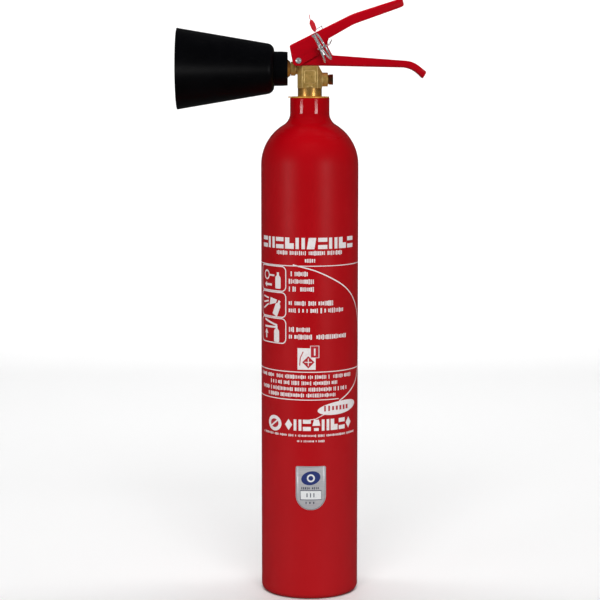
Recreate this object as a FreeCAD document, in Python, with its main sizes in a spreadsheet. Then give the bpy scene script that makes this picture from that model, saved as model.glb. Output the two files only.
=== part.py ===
import FreeCAD, Part
import math
import os
import re
import Sketcher
from FreeCAD import Placement, Rotation, Vector

# Hand-held carbon dioxide fire extinguisher: a one-piece cylinder, a squeeze-grip valve and a fixed horn.
# The origin is on the cylinder's axis at its foot, +Z up. The horn points to -X, the handles to +X.

SIZES = {
    # Cylinder: a closed foot, a domed shoulder and a neck with a taper bore.
    "shell_radius": 51.0,
    "shell_wall": 5.0,
    "base_round": 6.0,
    "foot_inner_radius": 36.0,
    "dish_radius": 28.0,
    "dish_depth": 6.0,
    "dish_round": 12.0,
    "floor_height": 12.0,
    "shoulder_height": 480.6,
    "dome_round": 48.8,
    "neck_radius": 20.6,
    "neck_foot_height": 499.0,
    "neck_round": 14.0,
    "neck_top": 523.0,
    # Valve stem: a 3:25 taper in the neck.
    "stem_top_radius": 11.4,
    "stem_bottom_radius": 9.9,
    "stem_bottom": 498.0,
    # Service ring between the neck and the valve.
    "service_thick": 1.2,
    "service_radius": 20.4,
    "service_bore": 11.7,
    "service_tab_reach": 22.6,
    "service_tab_width": 9.0,
    # Valve body: round foot, eight-sided block, threaded boss for the gland nut.
    "foot_radius": 12.6,
    "block_bottom": 533.0,
    "block_top": 556.0,
    "block_half_width": 12.9,
    "block_half_depth": 12.0,
    "block_flat_half": 8.0,
    "slope_width": 3.6,
    "slope_height": 6.4,
    "panel_half_width": 5.6,
    "panel_height": 13.0,
    "panel_proud": 0.5,
    "top_boss_radius": 7.0,
    "top_boss_height": 8.0,
    "chamber_radius": 8.0,
    "seat_height": 545.5,
    "seat_bore": 4.2,
    # Outlet, horn and what joins them, all on one level axis.
    "outlet_height": 553.0,
    "outlet_waist_radius": 6.0,
    "outlet_waist_end": 14.9,
    "outlet_boss_radius": 7.3,
    "outlet_boss_end": 20.0,
    "outlet_thread_radius": 5.6,
    "outlet_thread_end": 31.0,
    "outlet_bore": 2.5,
    "nozzle_cone_small": 7.4,
    "nozzle_cone_large": 10.6,
    "nozzle_cone_end": 24.4,
    "nozzle_barrel_radius": 7.8,
    "nozzle_end": 48.0,
    "nozzle_orifice": 1.6,
    "gasket_thick": 1.2,
    "collar_radius": 17.9,
    "collar_end": 37.0,
    "collar_round": 3.0,
    "horn_back_radius": 25.2,
    "horn_back_round": 8.0,
    "horn_mouth_end": 138.5,
    "horn_mouth_radius": 42.6,
    "horn_wall": 2.4,
    "horn_back_wall": 4.0,
    # Burst-disc port on the right of the valve.
    "port_height": 541.8,
    "port_boss_radius": 7.3,
    "port_boss_end": 19.0,
    "port_bore": 2.5,
    "port_seat": 13.0,
    "port_thread_radius": 5.0,
    "disc_thick": 0.3,
    "disc_washer_thick": 1.2,
    "plug_waist_end": 20.2,
    "plug_head_end": 24.3,
    "plug_head_radius": 6.2,
    "plug_vent": 1.2,
    # Gland nut, seal and moving stem.
    "gland_flats": 17.0,
    "gland_bottom": 558.05,
    "gland_top": 567.0,
    "spindle_radius": 2.5,
    "gland_bore": 2.58,
    "seal_section": 1.0,
    "poppet_radius": 6.6,
    "poppet_bottom": 533.0,
    "poppet_top": 543.4,
    "poppet_nose": 3.0,
    "seat_insert_thick": 2.0,
    "spindle_top": 578.0,
    "cap_radius": 4.0,
    "cap_bottom": 572.6,
    "cap_centre": 580.86,
    # Spring, its retainer and the dip tube.
    "retainer_top": 506.0,
    "spring_mean_radius": 5.3,
    "spring_wire": 0.7,
    "spring_turns": 6.0,
    "dip_radius": 5.0,
    "dip_wall": 1.0,
    "dip_foot": 20.0,
    "dip_top": 503.0,
    "dip_bevel": 12.0,
    # Lever hinge.
    "hinge_x": -11.7,
    "hinge_z": 561.3,
    "hinge_radius": 2.3,
    "hinge_head_radius": 3.1,
    "hinge_head_height": 1.4,
    "hinge_clearance": 0.05,
    # Operating lever: a channel open downwards.
    "lever_half_width": 14.5,
    "lever_sheet": 1.5,
    "lever_knee_x": 44.0,
    "lever_knee_z": 609.4,
    "lever_heel_x": -21.2,
    "lever_heel_z": 577.0,
    "lever_tip_x": 95.2,
    "lever_tip_z": 625.8,
    "lever_tip_lean": 2.2,
    "lever_tip_depth": 8.3,
    "lever_under_x": 46.0,
    "lever_under_z": 599.2,
    "lever_rear_x": 19.6,
    "lever_rear_z": 584.2,
    "lever_corner_x": 9.2,
    "lever_corner_z": 567.8,
    "lever_bend": 2.4,
    "lever_lobe": 5.0,
    # Carrying handle: a channel open upwards with two ears.
    "handle_half_width": 12.7,
    "handle_sheet": 2.0,
    "handle_heel_x": -15.6,
    "handle_heel_top": 572.4,
    "handle_flat_end": 14.0,
    "handle_drop_x": 105.5,
    "handle_drop_z": 554.0,
    "handle_tip_x": 116.9,
    "handle_tip_z": 543.4,
    "handle_tip_lean": 4.2,
    "handle_tip_depth": 6.3,
    "handle_shoulder_x": 107.0,
    "handle_shoulder_z": 560.8,
    "handle_bend": 2.6,
    "notch_half_width": 7.6,
    "notch_end": -9.8,
    "ear_top_x": 22.8,
    "ear_top_z": 586.2,
    "ear_waist_x": 18.5,
    "ear_waist_low": 576.0,
    "ear_waist_high": 582.0,
    "ear_foot_x": 23.4,
    "ear_foot_z": 567.0,
    # Safety pin, pull ring, seal.
    "pin_x": 11.5,
    "pin_z": 574.5,
    "pin_radius": 2.0,
    "pin_tip_y": 17.5,
    "pin_clearance": 0.25,
    "slot_lean": 24.0,
    "eye_y": -21.5,
    "eye_mean_radius": 3.5,
    "eye_wire": 0.9,
    "ring_mean_radius": 14.6,
    "ring_wire": 0.8,
    "ring_pitch": 1.5,
    "ring_lean": 28.0,
    "ring_splay": 3.0,
    "lever_travel": 12.0,
    "seal_length": 13.4,
    "seal_width": 4.5,
    "seal_thick": 2.6,
    "seal_lean": 24.0,
    "seal_x": 3.25,
    "seal_y": -17.6,
    "seal_z": 597.0,
    "wire_radius": 0.4,
    # Shield-shaped sticker on the front of the cylinder.
    "sticker_thick": 0.2,
    "sticker_half_width": 15.7,
    "sticker_bottom": 95.9,
    "sticker_top": 142.2,
    "sticker_x": 1.1,
}

doc = FreeCAD.newDocument("fire_extinguisher")
sheet = doc.addObject("Spreadsheet::Sheet", "dims")
for row, (alias, value) in enumerate(SIZES.items(), start=1):
    sheet.set("A%d" % row, alias)
    sheet.set("B%d" % row, str(value))
    sheet.setAlias("B%d" % row, alias)
doc.recompute()

sub_parts = []


def size(expression):
    """The value of a sheet expression, in millimetres or degrees."""
    return float(sheet.evalExpression(str(expression)))


def bound(expression):
    """The same expression as another object of the document reads it."""
    return re.sub(r"\b(%s)\b" % "|".join(SIZES), r"dims.\1", str(expression))


def bind(target, **expressions):
    """Tie properties of one object to the sheet; a double underscore stands for a dot."""
    for path, expression in expressions.items():
        target.setExpression(path.replace("__", "."), bound(expression))


def keep(target, label):
    """Name a finished sub-part and list it for export."""
    target.Label = label
    sub_parts.append(target)
    return target


def new_body(name):
    return doc.addObject("PartDesign::Body", name + "_body")


def new_sketch(body, name, role, offset):
    """A sketch on one of the body's own origin planes, moved by an offset in the sketch's own frame."""
    sketch = body.newObject("Sketcher::SketchObject", name)
    plane = next(f for f in body.Origin.OriginFeatures if f.Role == role)
    sketch.AttachmentSupport = [(plane, "")]
    sketch.MapMode = "FlatFace"
    bind(
        sketch,
        AttachmentOffset__Base__x=offset[0],
        AttachmentOffset__Base__y=offset[1],
        AttachmentOffset__Base__z=offset[2],
    )
    return sketch


def place_point(sketch, geometry, vertex, x, y):
    """Hold a point of the sketch at two sheet expressions."""
    for kind, expression, axis in (("DistanceX", x, -2), ("DistanceY", y, -1)):
        if abs(size(expression)) < 1e-9:
            sketch.addConstraint(Sketcher.Constraint("PointOnObject", geometry, vertex, axis))
            continue
        index = sketch.addConstraint(
            Sketcher.Constraint(kind, -1, 1, geometry, vertex, size(expression))
        )
        sketch.setExpression("Constraints[%d]" % index, bound(expression))


def outline(body, name, role, corners, offset=("0", "0", "0")):
    """A sketch of one closed outline."""
    return add_loop(new_sketch(body, name, role, offset), corners)


def add_loop(sketch, corners):
    """A closed loop of straight edges; a corner with a third value is rounded to that radius."""
    points = [Vector(size(c[0]), size(c[1]), 0) for c in corners]
    radii = [size(c[2]) if len(c) > 2 else 0.0 for c in corners]
    count = len(corners)
    entries, exits = [], []
    for i, point in enumerate(points):
        before = (points[i - 1] - point).normalize()
        after = (points[(i + 1) % count] - point).normalize()
        half = before.getAngle(after) / 2
        setback = radii[i] / math.tan(half)
        entries.append(point + before * setback)
        exits.append(point + after * setback)
    lines = [
        sketch.addGeometry(Part.LineSegment(exits[i], entries[(i + 1) % count])) for i in range(count)
    ]
    for i, corner in enumerate(corners):
        previous, following = lines[i - 1], lines[i]
        if radii[i] == 0:
            sketch.addConstraint(Sketcher.Constraint("Coincident", previous, 2, following, 1))
            place_point(sketch, following, 1, corner[0], corner[1])
            continue
        before = (points[i - 1] - points[i]).normalize()
        after = (points[(i + 1) % count] - points[i]).normalize()
        bisector = (before + after).normalize()
        centre = points[i] + bisector * (radii[i] / math.sin(before.getAngle(after) / 2))
        start = math.atan2(entries[i].y - centre.y, entries[i].x - centre.x)
        end = math.atan2(exits[i].y - centre.y, exits[i].x - centre.x)
        left_turn = before.cross(after).z < 0
        first, last = (start, end) if left_turn else (end, start)
        circle = Part.Circle(centre, Vector(0, 0, 1), radii[i])
        arc = sketch.addGeometry(Part.ArcOfCircle(circle, first, last))
        near, far = (1, 2) if left_turn else (2, 1)
        sketch.addConstraint(Sketcher.Constraint("Tangent", previous, 2, arc, near))
        sketch.addConstraint(Sketcher.Constraint("Tangent", following, 1, arc, far))
        index = sketch.addConstraint(Sketcher.Constraint("Radius", arc, radii[i]))
        sketch.setExpression("Constraints[%d]" % index, bound(corner[2]))
        apex = sketch.addGeometry(Part.Point(points[i]), True)
        place_point(sketch, apex, 1, corner[0], corner[1])
        sketch.addConstraint(Sketcher.Constraint("PointOnObject", apex, 1, previous))
        sketch.addConstraint(Sketcher.Constraint("PointOnObject", apex, 1, following))
    return sketch


def circle_sketch(body, name, role, x, y, radius, offset=("0", "0", "0")):
    """A sketch of one circle."""
    sketch = new_sketch(body, name, role, offset)
    circle = Part.Circle(Vector(size(x), size(y), 0), Vector(0, 0, 1), size(radius))
    edge = sketch.addGeometry(circle)
    place_point(sketch, edge, 3, x, y)
    index = sketch.addConstraint(Sketcher.Constraint("Radius", edge, size(radius)))
    sketch.setExpression("Constraints[%d]" % index, bound(radius))
    return sketch


def feature(body, kind, sketch, expressions, axis=None, **settings):
    """Add a feature made from a sketch; a cut has to take material away."""
    doc.recompute()
    before = body.Shape.Volume if body.Tip else 0.0
    made = body.newObject("PartDesign::" + kind, sketch.Name + "_" + kind.lower())
    made.Profile = sketch
    if axis:
        made.ReferenceAxis = (sketch, [axis])
    for name, value in settings.items():
        setattr(made, name, value)
    bind(made, **expressions)
    sketch.Visibility = False
    body.Tip = made
    doc.recompute()
    if kind in ("Pocket", "Groove") and made.Shape.Volume > before - 1e-3:
        raise ValueError("%s takes nothing away from %s" % (made.Name, body.Name))
    return made


def pad(body, sketch, length, **settings):
    return feature(body, "Pad", sketch, {"Length": length}, **settings)


def pocket(body, sketch, length, **settings):
    return feature(body, "Pocket", sketch, {"Length": length}, **settings)


def revolve(body, sketch, axis="V_Axis"):
    return feature(body, "Revolution", sketch, {"Angle": "360"}, axis=axis)


def groove(body, sketch, axis="V_Axis"):
    return feature(body, "Groove", sketch, {"Angle": "360"}, axis=axis)


def box_corners(x_low, y_low, x_high, y_high):
    """The four corners of a rectangle in a sketch."""
    return [(x_low, y_low), (x_high, y_low), (x_high, y_high), (x_low, y_high)]


def ring_about_x(label, outer, inner, x_low, x_high, height):
    """A washer or sleeve whose axis runs along X at a given height."""
    body = new_body(label)
    corners = box_corners(x_low, inner, x_high, outer)
    revolve(body, outline(body, label + "_half", "XZ_Plane", corners, ("0", height, "0")), "H_Axis")
    return keep(body, label)


def make_cylinder():
    """One-piece shell: dished foot, straight wall, dome, neck and taper bore for the valve."""
    body = new_body("cylinder")
    inner = "shell_radius - shell_wall"
    corners = [
        ("0", "dish_depth"),
        ("dish_radius", "dish_depth", "dish_round"),
        ("foot_inner_radius", "0", "base_round / 2"),
        ("shell_radius", "0", "base_round"),
        ("shell_radius", "shoulder_height", "dome_round"),
        ("neck_radius", "neck_foot_height", "neck_round"),
        ("neck_radius", "neck_top", "1"),
        ("stem_top_radius", "neck_top"),
        ("stem_bottom_radius", "stem_bottom"),
        ("stem_bottom_radius + 3", "stem_bottom - 1.5"),
        (inner, "shoulder_height - 2.8", "dome_round - shell_wall"),
        (inner, "floor_height", "20"),
        ("0", "floor_height"),
    ]
    revolve(body, outline(body, "shell_half", "XZ_Plane", corners))
    return keep(body, "cylinder")


def make_service_ring():
    """Thin washer under the valve, with one tab for the service date."""
    body = new_body("service_ring")
    level = ("0", "0", "neck_top")
    disc = circle_sketch(body, "service_disc", "XY_Plane", "0", "0", "service_radius", level)
    pad(body, disc, "service_thick")
    corners = box_corners(
        "-service_tab_reach", "-service_tab_width / 2", "-service_radius + 3", "service_tab_width / 2"
    )
    pad(body, outline(body, "service_tab", "XY_Plane", corners, level), "service_thick")
    bore = circle_sketch(body, "service_hole", "XY_Plane", "0", "0", "service_bore", level)
    pocket(body, bore, "service_thick", Reversed=True)
    return keep(body, "service_ring")


def make_valve_body():
    """Brass forging: taper stem, round foot, eight-sided block, gland boss, outlet and burst-disc port."""
    body = new_body("valve_body")
    foot_bottom = "neck_top + service_thick"
    boss_top = "block_top + top_boss_height"
    turned = [
        ("0", "stem_bottom"),
        ("stem_bottom_radius", "stem_bottom"),
        ("stem_top_radius", "neck_top"),
        ("stem_top_radius", foot_bottom),
        ("foot_radius", foot_bottom, "0.6"),
        ("foot_radius", "block_bottom + 1"),
        ("top_boss_radius", "block_top - 2"),
        ("top_boss_radius", boss_top),
        ("0", boss_top),
    ]
    revolve(body, outline(body, "valve_turned", "XZ_Plane", turned))
    wide, deep, flat = "block_half_width", "block_half_depth", "block_flat_half"
    octagon = [
        (wide, "-" + flat + " + 1"),
        (wide, flat + " - 1"),
        (flat, deep),
        ("-" + flat, deep),
        ("-" + wide, flat + " - 1"),
        ("-" + wide, "-" + flat + " + 1"),
        ("-" + flat, "-" + deep),
        (flat, "-" + deep),
    ]
    level = ("0", "0", "block_bottom")
    pad(body, outline(body, "valve_block", "XY_Plane", octagon, level), "block_top - block_bottom")
    slope = [
        (wide + " - slope_width", "block_top"),
        (wide + " + 1", "block_top - slope_height * (slope_width + 1) / slope_width"),
        (wide + " + 1", "block_top"),
    ]
    pocket(
        body, outline(body, "valve_slope", "XZ_Plane", slope), "2 * block_half_depth", SideType="Symmetric"
    )
    panel = [
        (x, z, "1.5")
        for x, z in box_corners(
            "-panel_half_width",
            "(block_bottom + block_top - panel_height) / 2",
            "panel_half_width",
            "(block_bottom + block_top + panel_height) / 2",
        )
    ]
    panel_sketch = outline(body, "valve_panel", "XZ_Plane", panel, ("0", "0", "block_half_depth - 1"))
    pad(body, panel_sketch, "panel_proud + 1")
    port = [
        (wide + " - 3", "0"),
        ("port_boss_end", "0"),
        ("port_boss_end", "port_boss_radius", "0.8"),
        (wide + " - 3", "port_boss_radius"),
    ]
    revolve(body, outline(body, "port_boss", "XZ_Plane", port, ("0", "port_height", "0")), "H_Axis")
    outlet = [
        ("0.4 - block_half_width", "0"),
        ("0.4 - block_half_width", "outlet_waist_radius"),
        ("-outlet_waist_end", "outlet_waist_radius"),
        ("-outlet_waist_end", "outlet_boss_radius", "0.5"),
        ("-outlet_boss_end", "outlet_boss_radius", "0.5"),
        ("-outlet_boss_end", "outlet_thread_radius"),
        ("-outlet_thread_end", "outlet_thread_radius", "0.8"),
        ("-outlet_thread_end", "0"),
    ]
    revolve(body, outline(body, "outlet_boss", "XZ_Plane", outlet, ("0", "outlet_height", "0")), "H_Axis")
    cavity = [
        ("0", "stem_bottom - 1"),
        ("chamber_radius", "stem_bottom - 1"),
        ("chamber_radius", "seat_height"),
        ("seat_bore", "seat_height"),
        ("seat_bore", "block_top"),
        ("gland_bore", "block_top + 1.6"),
        ("gland_bore", boss_top + " - 2 * seal_section - 0.2"),
        ("gland_bore + 2 * seal_section + 0.1", boss_top + " - 2 * seal_section - 0.2"),
        ("gland_bore + 2 * seal_section + 0.1", boss_top + " + 1"),
        ("0", boss_top + " + 1"),
    ]
    groove(body, outline(body, "valve_cavity", "XZ_Plane", cavity))
    outlet_bore = box_corners("-outlet_thread_end - 1", "0", "0", "outlet_bore")
    groove(
        body,
        outline(body, "outlet_bore_half", "XZ_Plane", outlet_bore, ("0", "outlet_height", "0")),
        "H_Axis",
    )
    port_bore = [
        ("0", "0"),
        ("port_boss_end + 1", "0"),
        ("port_boss_end + 1", "port_thread_radius"),
        ("port_seat", "port_thread_radius"),
        ("port_seat", "port_bore"),
        ("0", "port_bore"),
    ]
    groove(body, outline(body, "port_bore_half", "XZ_Plane", port_bore, ("0", "port_height", "0")), "H_Axis")
    return keep(body, "valve_body")


def make_horn_side():
    """Discharge nozzle, gasket, collar and horn, in line on the outlet's axis."""
    axis = ("0", "outlet_height", "0")
    nozzle = new_body("discharge_nozzle")
    corners = [
        ("-outlet_boss_end - 0.3", "outlet_thread_radius + 0.1"),
        ("-outlet_boss_end - 0.3", "nozzle_cone_small"),
        ("-nozzle_cone_end", "nozzle_cone_large"),
        ("-nozzle_cone_end", "nozzle_barrel_radius"),
        ("-nozzle_end", "nozzle_barrel_radius", "1.5"),
        ("-nozzle_end", "nozzle_orifice"),
        ("-outlet_thread_end - 3", "nozzle_orifice"),
        ("-outlet_thread_end - 1", "outlet_thread_radius + 0.1"),
    ]
    revolve(nozzle, outline(nozzle, "nozzle_half", "XZ_Plane", corners, axis), "H_Axis")
    keep(nozzle, "discharge_nozzle")

    collar_start = "nozzle_cone_end + gasket_thick"
    ring_about_x(
        "horn_gasket",
        "nozzle_cone_large",
        "nozzle_barrel_radius + 0.1",
        "-(%s)" % collar_start,
        "-nozzle_cone_end",
        "outlet_height",
    )

    collar = new_body("horn_collar")
    corners = [
        ("-(%s)" % collar_start, "nozzle_barrel_radius + 0.1"),
        ("-(%s)" % collar_start, "collar_radius", "collar_round"),
        ("-collar_end", "collar_radius"),
        ("-collar_end", "nozzle_barrel_radius + 0.1"),
    ]
    revolve(collar, outline(collar, "collar_half", "XZ_Plane", corners, axis), "H_Axis")
    keep(collar, "horn_collar")

    horn = new_body("horn")
    mouth_inner = "horn_mouth_radius - horn_wall"
    corners = [
        ("-collar_end", "nozzle_barrel_radius + 0.1"),
        ("-collar_end", "horn_back_radius", "horn_back_round"),
        ("-horn_mouth_end", "horn_mouth_radius", "0.8"),
        ("-horn_mouth_end", mouth_inner, "0.8"),
        ("-collar_end - horn_back_wall", "horn_back_radius - horn_wall", "horn_back_round - horn_wall"),
        ("-collar_end - horn_back_wall", "nozzle_barrel_radius + 0.1"),
    ]
    revolve(horn, outline(horn, "horn_half", "XZ_Plane", corners, axis), "H_Axis")
    keep(horn, "horn")


def make_burst_disc():
    """Burst disc, its washer and the vented plug that clamps them."""
    disc_face = "port_seat + disc_thick"
    washer_face = disc_face + " + disc_washer_thick"
    disc = new_body("burst_disc")
    corners = box_corners("port_seat", "0", disc_face, "port_thread_radius - 0.2")
    revolve(disc, outline(disc, "disc_half", "XZ_Plane", corners, ("0", "port_height", "0")), "H_Axis")
    keep(disc, "burst_disc")

    ring_about_x(
        "burst_disc_washer",
        "port_thread_radius - 0.2",
        "port_bore",
        disc_face,
        washer_face,
        "port_height",
    )

    plug = new_body("burst_disc_plug")
    corners = [
        (washer_face, "port_bore"),
        ("plug_head_end - 1.6", "port_bore"),
        ("plug_head_end - 1.6", "0"),
        ("plug_head_end - 0.4", "0"),
        ("plug_head_end - 0.4", "port_thread_radius - 0.1"),
        (washer_face, "port_thread_radius - 0.1"),
    ]
    revolve(plug, outline(plug, "plug_half", "XZ_Plane", corners, ("0", "port_height", "0")), "H_Axis")
    hexagon = [
        (
            "plug_head_radius * cos(%d)" % (60 * i),
            "port_height + plug_head_radius * sin(%d)" % (60 * i),
        )
        for i in range(6)
    ]
    head = outline(plug, "plug_hexagon", "YZ_Plane", hexagon, ("0", "0", "plug_waist_end"))
    pad(plug, head, "plug_head_end - plug_waist_end")
    well = circle_sketch(
        plug, "plug_well", "YZ_Plane", "0", "port_height", "port_bore", ("0", "0", "port_seat")
    )
    pocket(plug, well, "plug_head_end - 1.6 - port_seat", Reversed=True)
    vent = circle_sketch(
        plug,
        "plug_vent_hole",
        "XY_Plane",
        "(plug_waist_end + plug_head_end) / 2 - 0.4",
        "0",
        "plug_vent",
        ("0", "0", "port_height"),
    )
    pocket(plug, vent, "4 * plug_head_radius", SideType="Symmetric")
    keep(plug, "burst_disc_plug")


def make_gland():
    """Hexagonal gland nut over the top boss and the seal ring under it."""
    nut = new_body("gland_nut")
    hexagon = [
        (
            "gland_flats / 2 / cos(30) * sin(%d)" % (60 * i),
            "gland_flats / 2 / cos(30) * cos(%d)" % (60 * i),
        )
        for i in range(6)
    ]
    sketch = outline(nut, "gland_hexagon", "XY_Plane", hexagon, ("0", "0", "gland_bottom"))
    pad(nut, sketch, "gland_top - gland_bottom")
    cavity = [
        ("0", "gland_bottom - 1"),
        ("top_boss_radius + 0.1", "gland_bottom - 1"),
        ("top_boss_radius + 0.1", "block_top + top_boss_height + 0.1"),
        ("gland_bore", "block_top + top_boss_height + 0.1"),
        ("gland_bore", "gland_top + 1"),
        ("0", "gland_top + 1"),
    ]
    groove(nut, outline(nut, "gland_cavity", "XZ_Plane", cavity))
    crown = [
        ("gland_flats / 2 - 0.2", "gland_top"),
        ("gland_flats / 2 + 3", "gland_top"),
        ("gland_flats / 2 + 3", "gland_top - 1.85"),
    ]
    groove(nut, outline(nut, "gland_crown", "XZ_Plane", crown))
    keep(nut, "gland_nut")

    seal = doc.addObject("Part::Torus", "spindle_o_ring")
    bind(
        seal,
        Radius1="gland_bore + seal_section + 0.02",
        Radius2="seal_section",
        Placement__Base__z="block_top + top_boss_height - seal_section - 0.1",
    )
    keep(seal, "spindle_o_ring")


def make_spindle():
    """Stem with its poppet, the soft seat insert on the poppet and the domed cap under the lever."""
    spindle = new_body("valve_spindle")
    corners = [
        ("0", "poppet_bottom"),
        ("poppet_radius - 1.2", "poppet_bottom"),
        ("poppet_radius - 1.2", "poppet_bottom + 3"),
        ("poppet_radius", "poppet_bottom + 3"),
        ("poppet_radius", "poppet_top"),
        ("poppet_nose", "poppet_top"),
        ("poppet_nose", "poppet_top + seat_insert_thick + 1"),
        ("spindle_radius", "poppet_top + seat_insert_thick + 3"),
        ("spindle_radius", "spindle_top", "0.5"),
        ("0", "spindle_top"),
    ]
    revolve(spindle, outline(spindle, "spindle_half", "XZ_Plane", corners))
    keep(spindle, "valve_spindle")

    insert = new_body("valve_seat_insert")
    corners = box_corners(
        "poppet_nose", "poppet_top", "poppet_radius - 0.2", "poppet_top + seat_insert_thick"
    )
    revolve(insert, outline(insert, "insert_half", "XZ_Plane", corners))
    keep(insert, "valve_seat_insert")

    cap = new_body("spindle_cap")
    corners = [
        ("spindle_radius", "cap_bottom"),
        ("cap_radius", "cap_bottom", "0.5"),
        ("cap_radius", "cap_centre + cap_radius", "cap_radius - 0.01"),
        ("0", "cap_centre + cap_radius"),
        ("0", "spindle_top"),
        ("spindle_radius", "spindle_top"),
    ]
    revolve(cap, outline(cap, "cap_half", "XZ_Plane", corners))
    keep(cap, "spindle_cap")


def make_spring_side():
    """Spring retainer, valve spring and dip tube below the poppet."""
    retainer = new_body("spring_retainer")
    corners = [
        ("dip_radius", "stem_bottom"),
        ("chamber_radius", "stem_bottom"),
        ("chamber_radius", "retainer_top"),
        ("dip_radius - dip_wall", "retainer_top"),
        ("dip_radius - dip_wall", "dip_top"),
        ("dip_radius", "dip_top"),
    ]
    revolve(retainer, outline(retainer, "retainer_half", "XZ_Plane", corners))
    keep(retainer, "spring_retainer")

    spring = new_body("valve_spring")
    section = circle_sketch(
        spring,
        "spring_section",
        "XZ_Plane",
        "spring_mean_radius",
        "retainer_top + spring_wire + 0.05",
        "spring_wire",
    )
    free_height = "(poppet_bottom - retainer_top - 2 * spring_wire - 0.1)"
    feature(
        spring,
        "AdditiveHelix",
        section,
        {"Height": free_height, "Pitch": free_height + " / spring_turns"},
        axis="V_Axis",
        Mode="pitch-height-angle",
    )
    keep(spring, "valve_spring")

    tube = new_body("dip_tube")
    corners = box_corners("dip_radius - dip_wall", "dip_foot", "dip_radius", "dip_top")
    revolve(tube, outline(tube, "tube_half", "XZ_Plane", corners))
    bevel = [
        ("-dip_radius - 1", "dip_foot - 1"),
        ("dip_radius + 1", "dip_foot - 1"),
        ("-dip_radius - 1", "dip_foot + dip_bevel"),
    ]
    pocket(tube, outline(tube, "tube_bevel", "XZ_Plane", bevel), "4 * dip_radius", SideType="Symmetric")
    keep(tube, "dip_tube")


def bent_sheet(body, prefix, blank, channel, side, frame, half_width, sheet_thick, bend):
    """A channel folded from sheet: a solid blank with its bends rounded, hollowed, then trimmed to shape.

    The bends are the two long edges of the blank that its first corners make.
    """
    pad(body, outline(body, prefix + "_blank", "XZ_Plane", blank), "2 * " + half_width, SideType="Symmetric")
    folds = [Vector(size(c[0]), 0, size(c[1])) for c in blank[:-2]]
    fold_line = Part.makePolygon(folds)
    long_edges = []
    for number, edge in enumerate(body.Shape.Edges, start=1):
        middle = edge.CenterOfMass
        level = Part.Vertex(middle.x, 0, middle.z)
        if edge.BoundBox.YLength < 1e-6 and level.distToShape(fold_line)[0] < 1.0:
            long_edges.append("Edge%d" % number)
    solid = body.Tip
    rounding = body.newObject("PartDesign::Fillet", prefix + "_bends")
    rounding.Base = (solid, long_edges)
    bind(rounding, Radius=bend)
    body.Tip = rounding
    pocket(
        body,
        outline(body, prefix + "_channel", "XZ_Plane", channel),
        "2 * (%s - %s)" % (half_width, sheet_thick),
        SideType="Symmetric",
    )
    trim = add_loop(outline(body, prefix + "_trim", "XZ_Plane", frame), side)
    pocket(body, trim, "4 * " + half_width, SideType="Symmetric")


def make_operating_lever():
    """Sheet-steel channel, open downwards, whose cheeks reach down to the hinge."""
    body = new_body("operating_lever")
    slope = "(lever_knee_z - lever_heel_z) / (lever_knee_x - lever_heel_x)"
    tip_slope = "(lever_tip_z - lever_knee_z) / (lever_tip_x - lever_knee_x)"
    back = ("lever_heel_x - 10", "lever_heel_z - 10 * " + slope)
    front = ("lever_tip_x + 10", "lever_tip_z + 10 * " + tip_slope)
    below = "block_bottom"
    sheet_drop = "lever_sheet / cos(atan(%s))"
    blank = [
        back,
        ("lever_knee_x", "lever_knee_z", "60"),
        front,
        (front[0], below),
        (back[0], below),
    ]
    channel = [
        (back[0] + " - 1", back[1] + " - " + slope + " - " + sheet_drop % slope),
        ("lever_knee_x + 0.29", "lever_knee_z - lever_sheet / cos(22) + 0.02", "60 - lever_sheet"),
        (front[0] + " + 1", front[1] + " + " + tip_slope + " - " + sheet_drop % tip_slope),
        (front[0] + " + 1", below + " - 1"),
        (back[0] + " - 1", below + " - 1"),
    ]
    side = [
        ("lever_heel_x", "lever_heel_z", "2.5"),
        ("lever_knee_x", "lever_knee_z + 0.02", "60"),
        ("lever_tip_x", "lever_tip_z", "2.5"),
        ("lever_tip_x + lever_tip_lean", "lever_tip_z - lever_tip_depth", "2.5"),
        ("lever_under_x", "lever_under_z", "40"),
        ("lever_rear_x", "lever_rear_z", "4"),
        ("lever_corner_x", "lever_corner_z", "3"),
        ("hinge_x + 1.5", "hinge_z - lever_lobe", "lever_lobe - 1"),
        ("hinge_x - lever_lobe - 0.6", "hinge_z - lever_lobe", "lever_lobe - 0.5"),
    ]
    frame = box_corners("lever_heel_x - 15", "block_bottom - 5", "lever_tip_x + 20", "lever_tip_z + 20")
    bent_sheet(
        body, "lever", blank, channel, side, frame, "lever_half_width", "lever_sheet", "lever_bend"
    )
    hole = circle_sketch(
        body, "lever_hinge_hole", "XZ_Plane", "hinge_x", "hinge_z", "hinge_radius + hinge_clearance"
    )
    pocket(body, hole, "4 * lever_half_width", SideType="Symmetric")
    pin_hole = circle_sketch(
        body, "lever_pin_hole", "XZ_Plane", "pin_x", "pin_z", "pin_radius + pin_clearance / 2"
    )
    pocket(body, pin_hole, "4 * lever_half_width", SideType="Symmetric")
    keep(body, "operating_lever")


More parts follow.
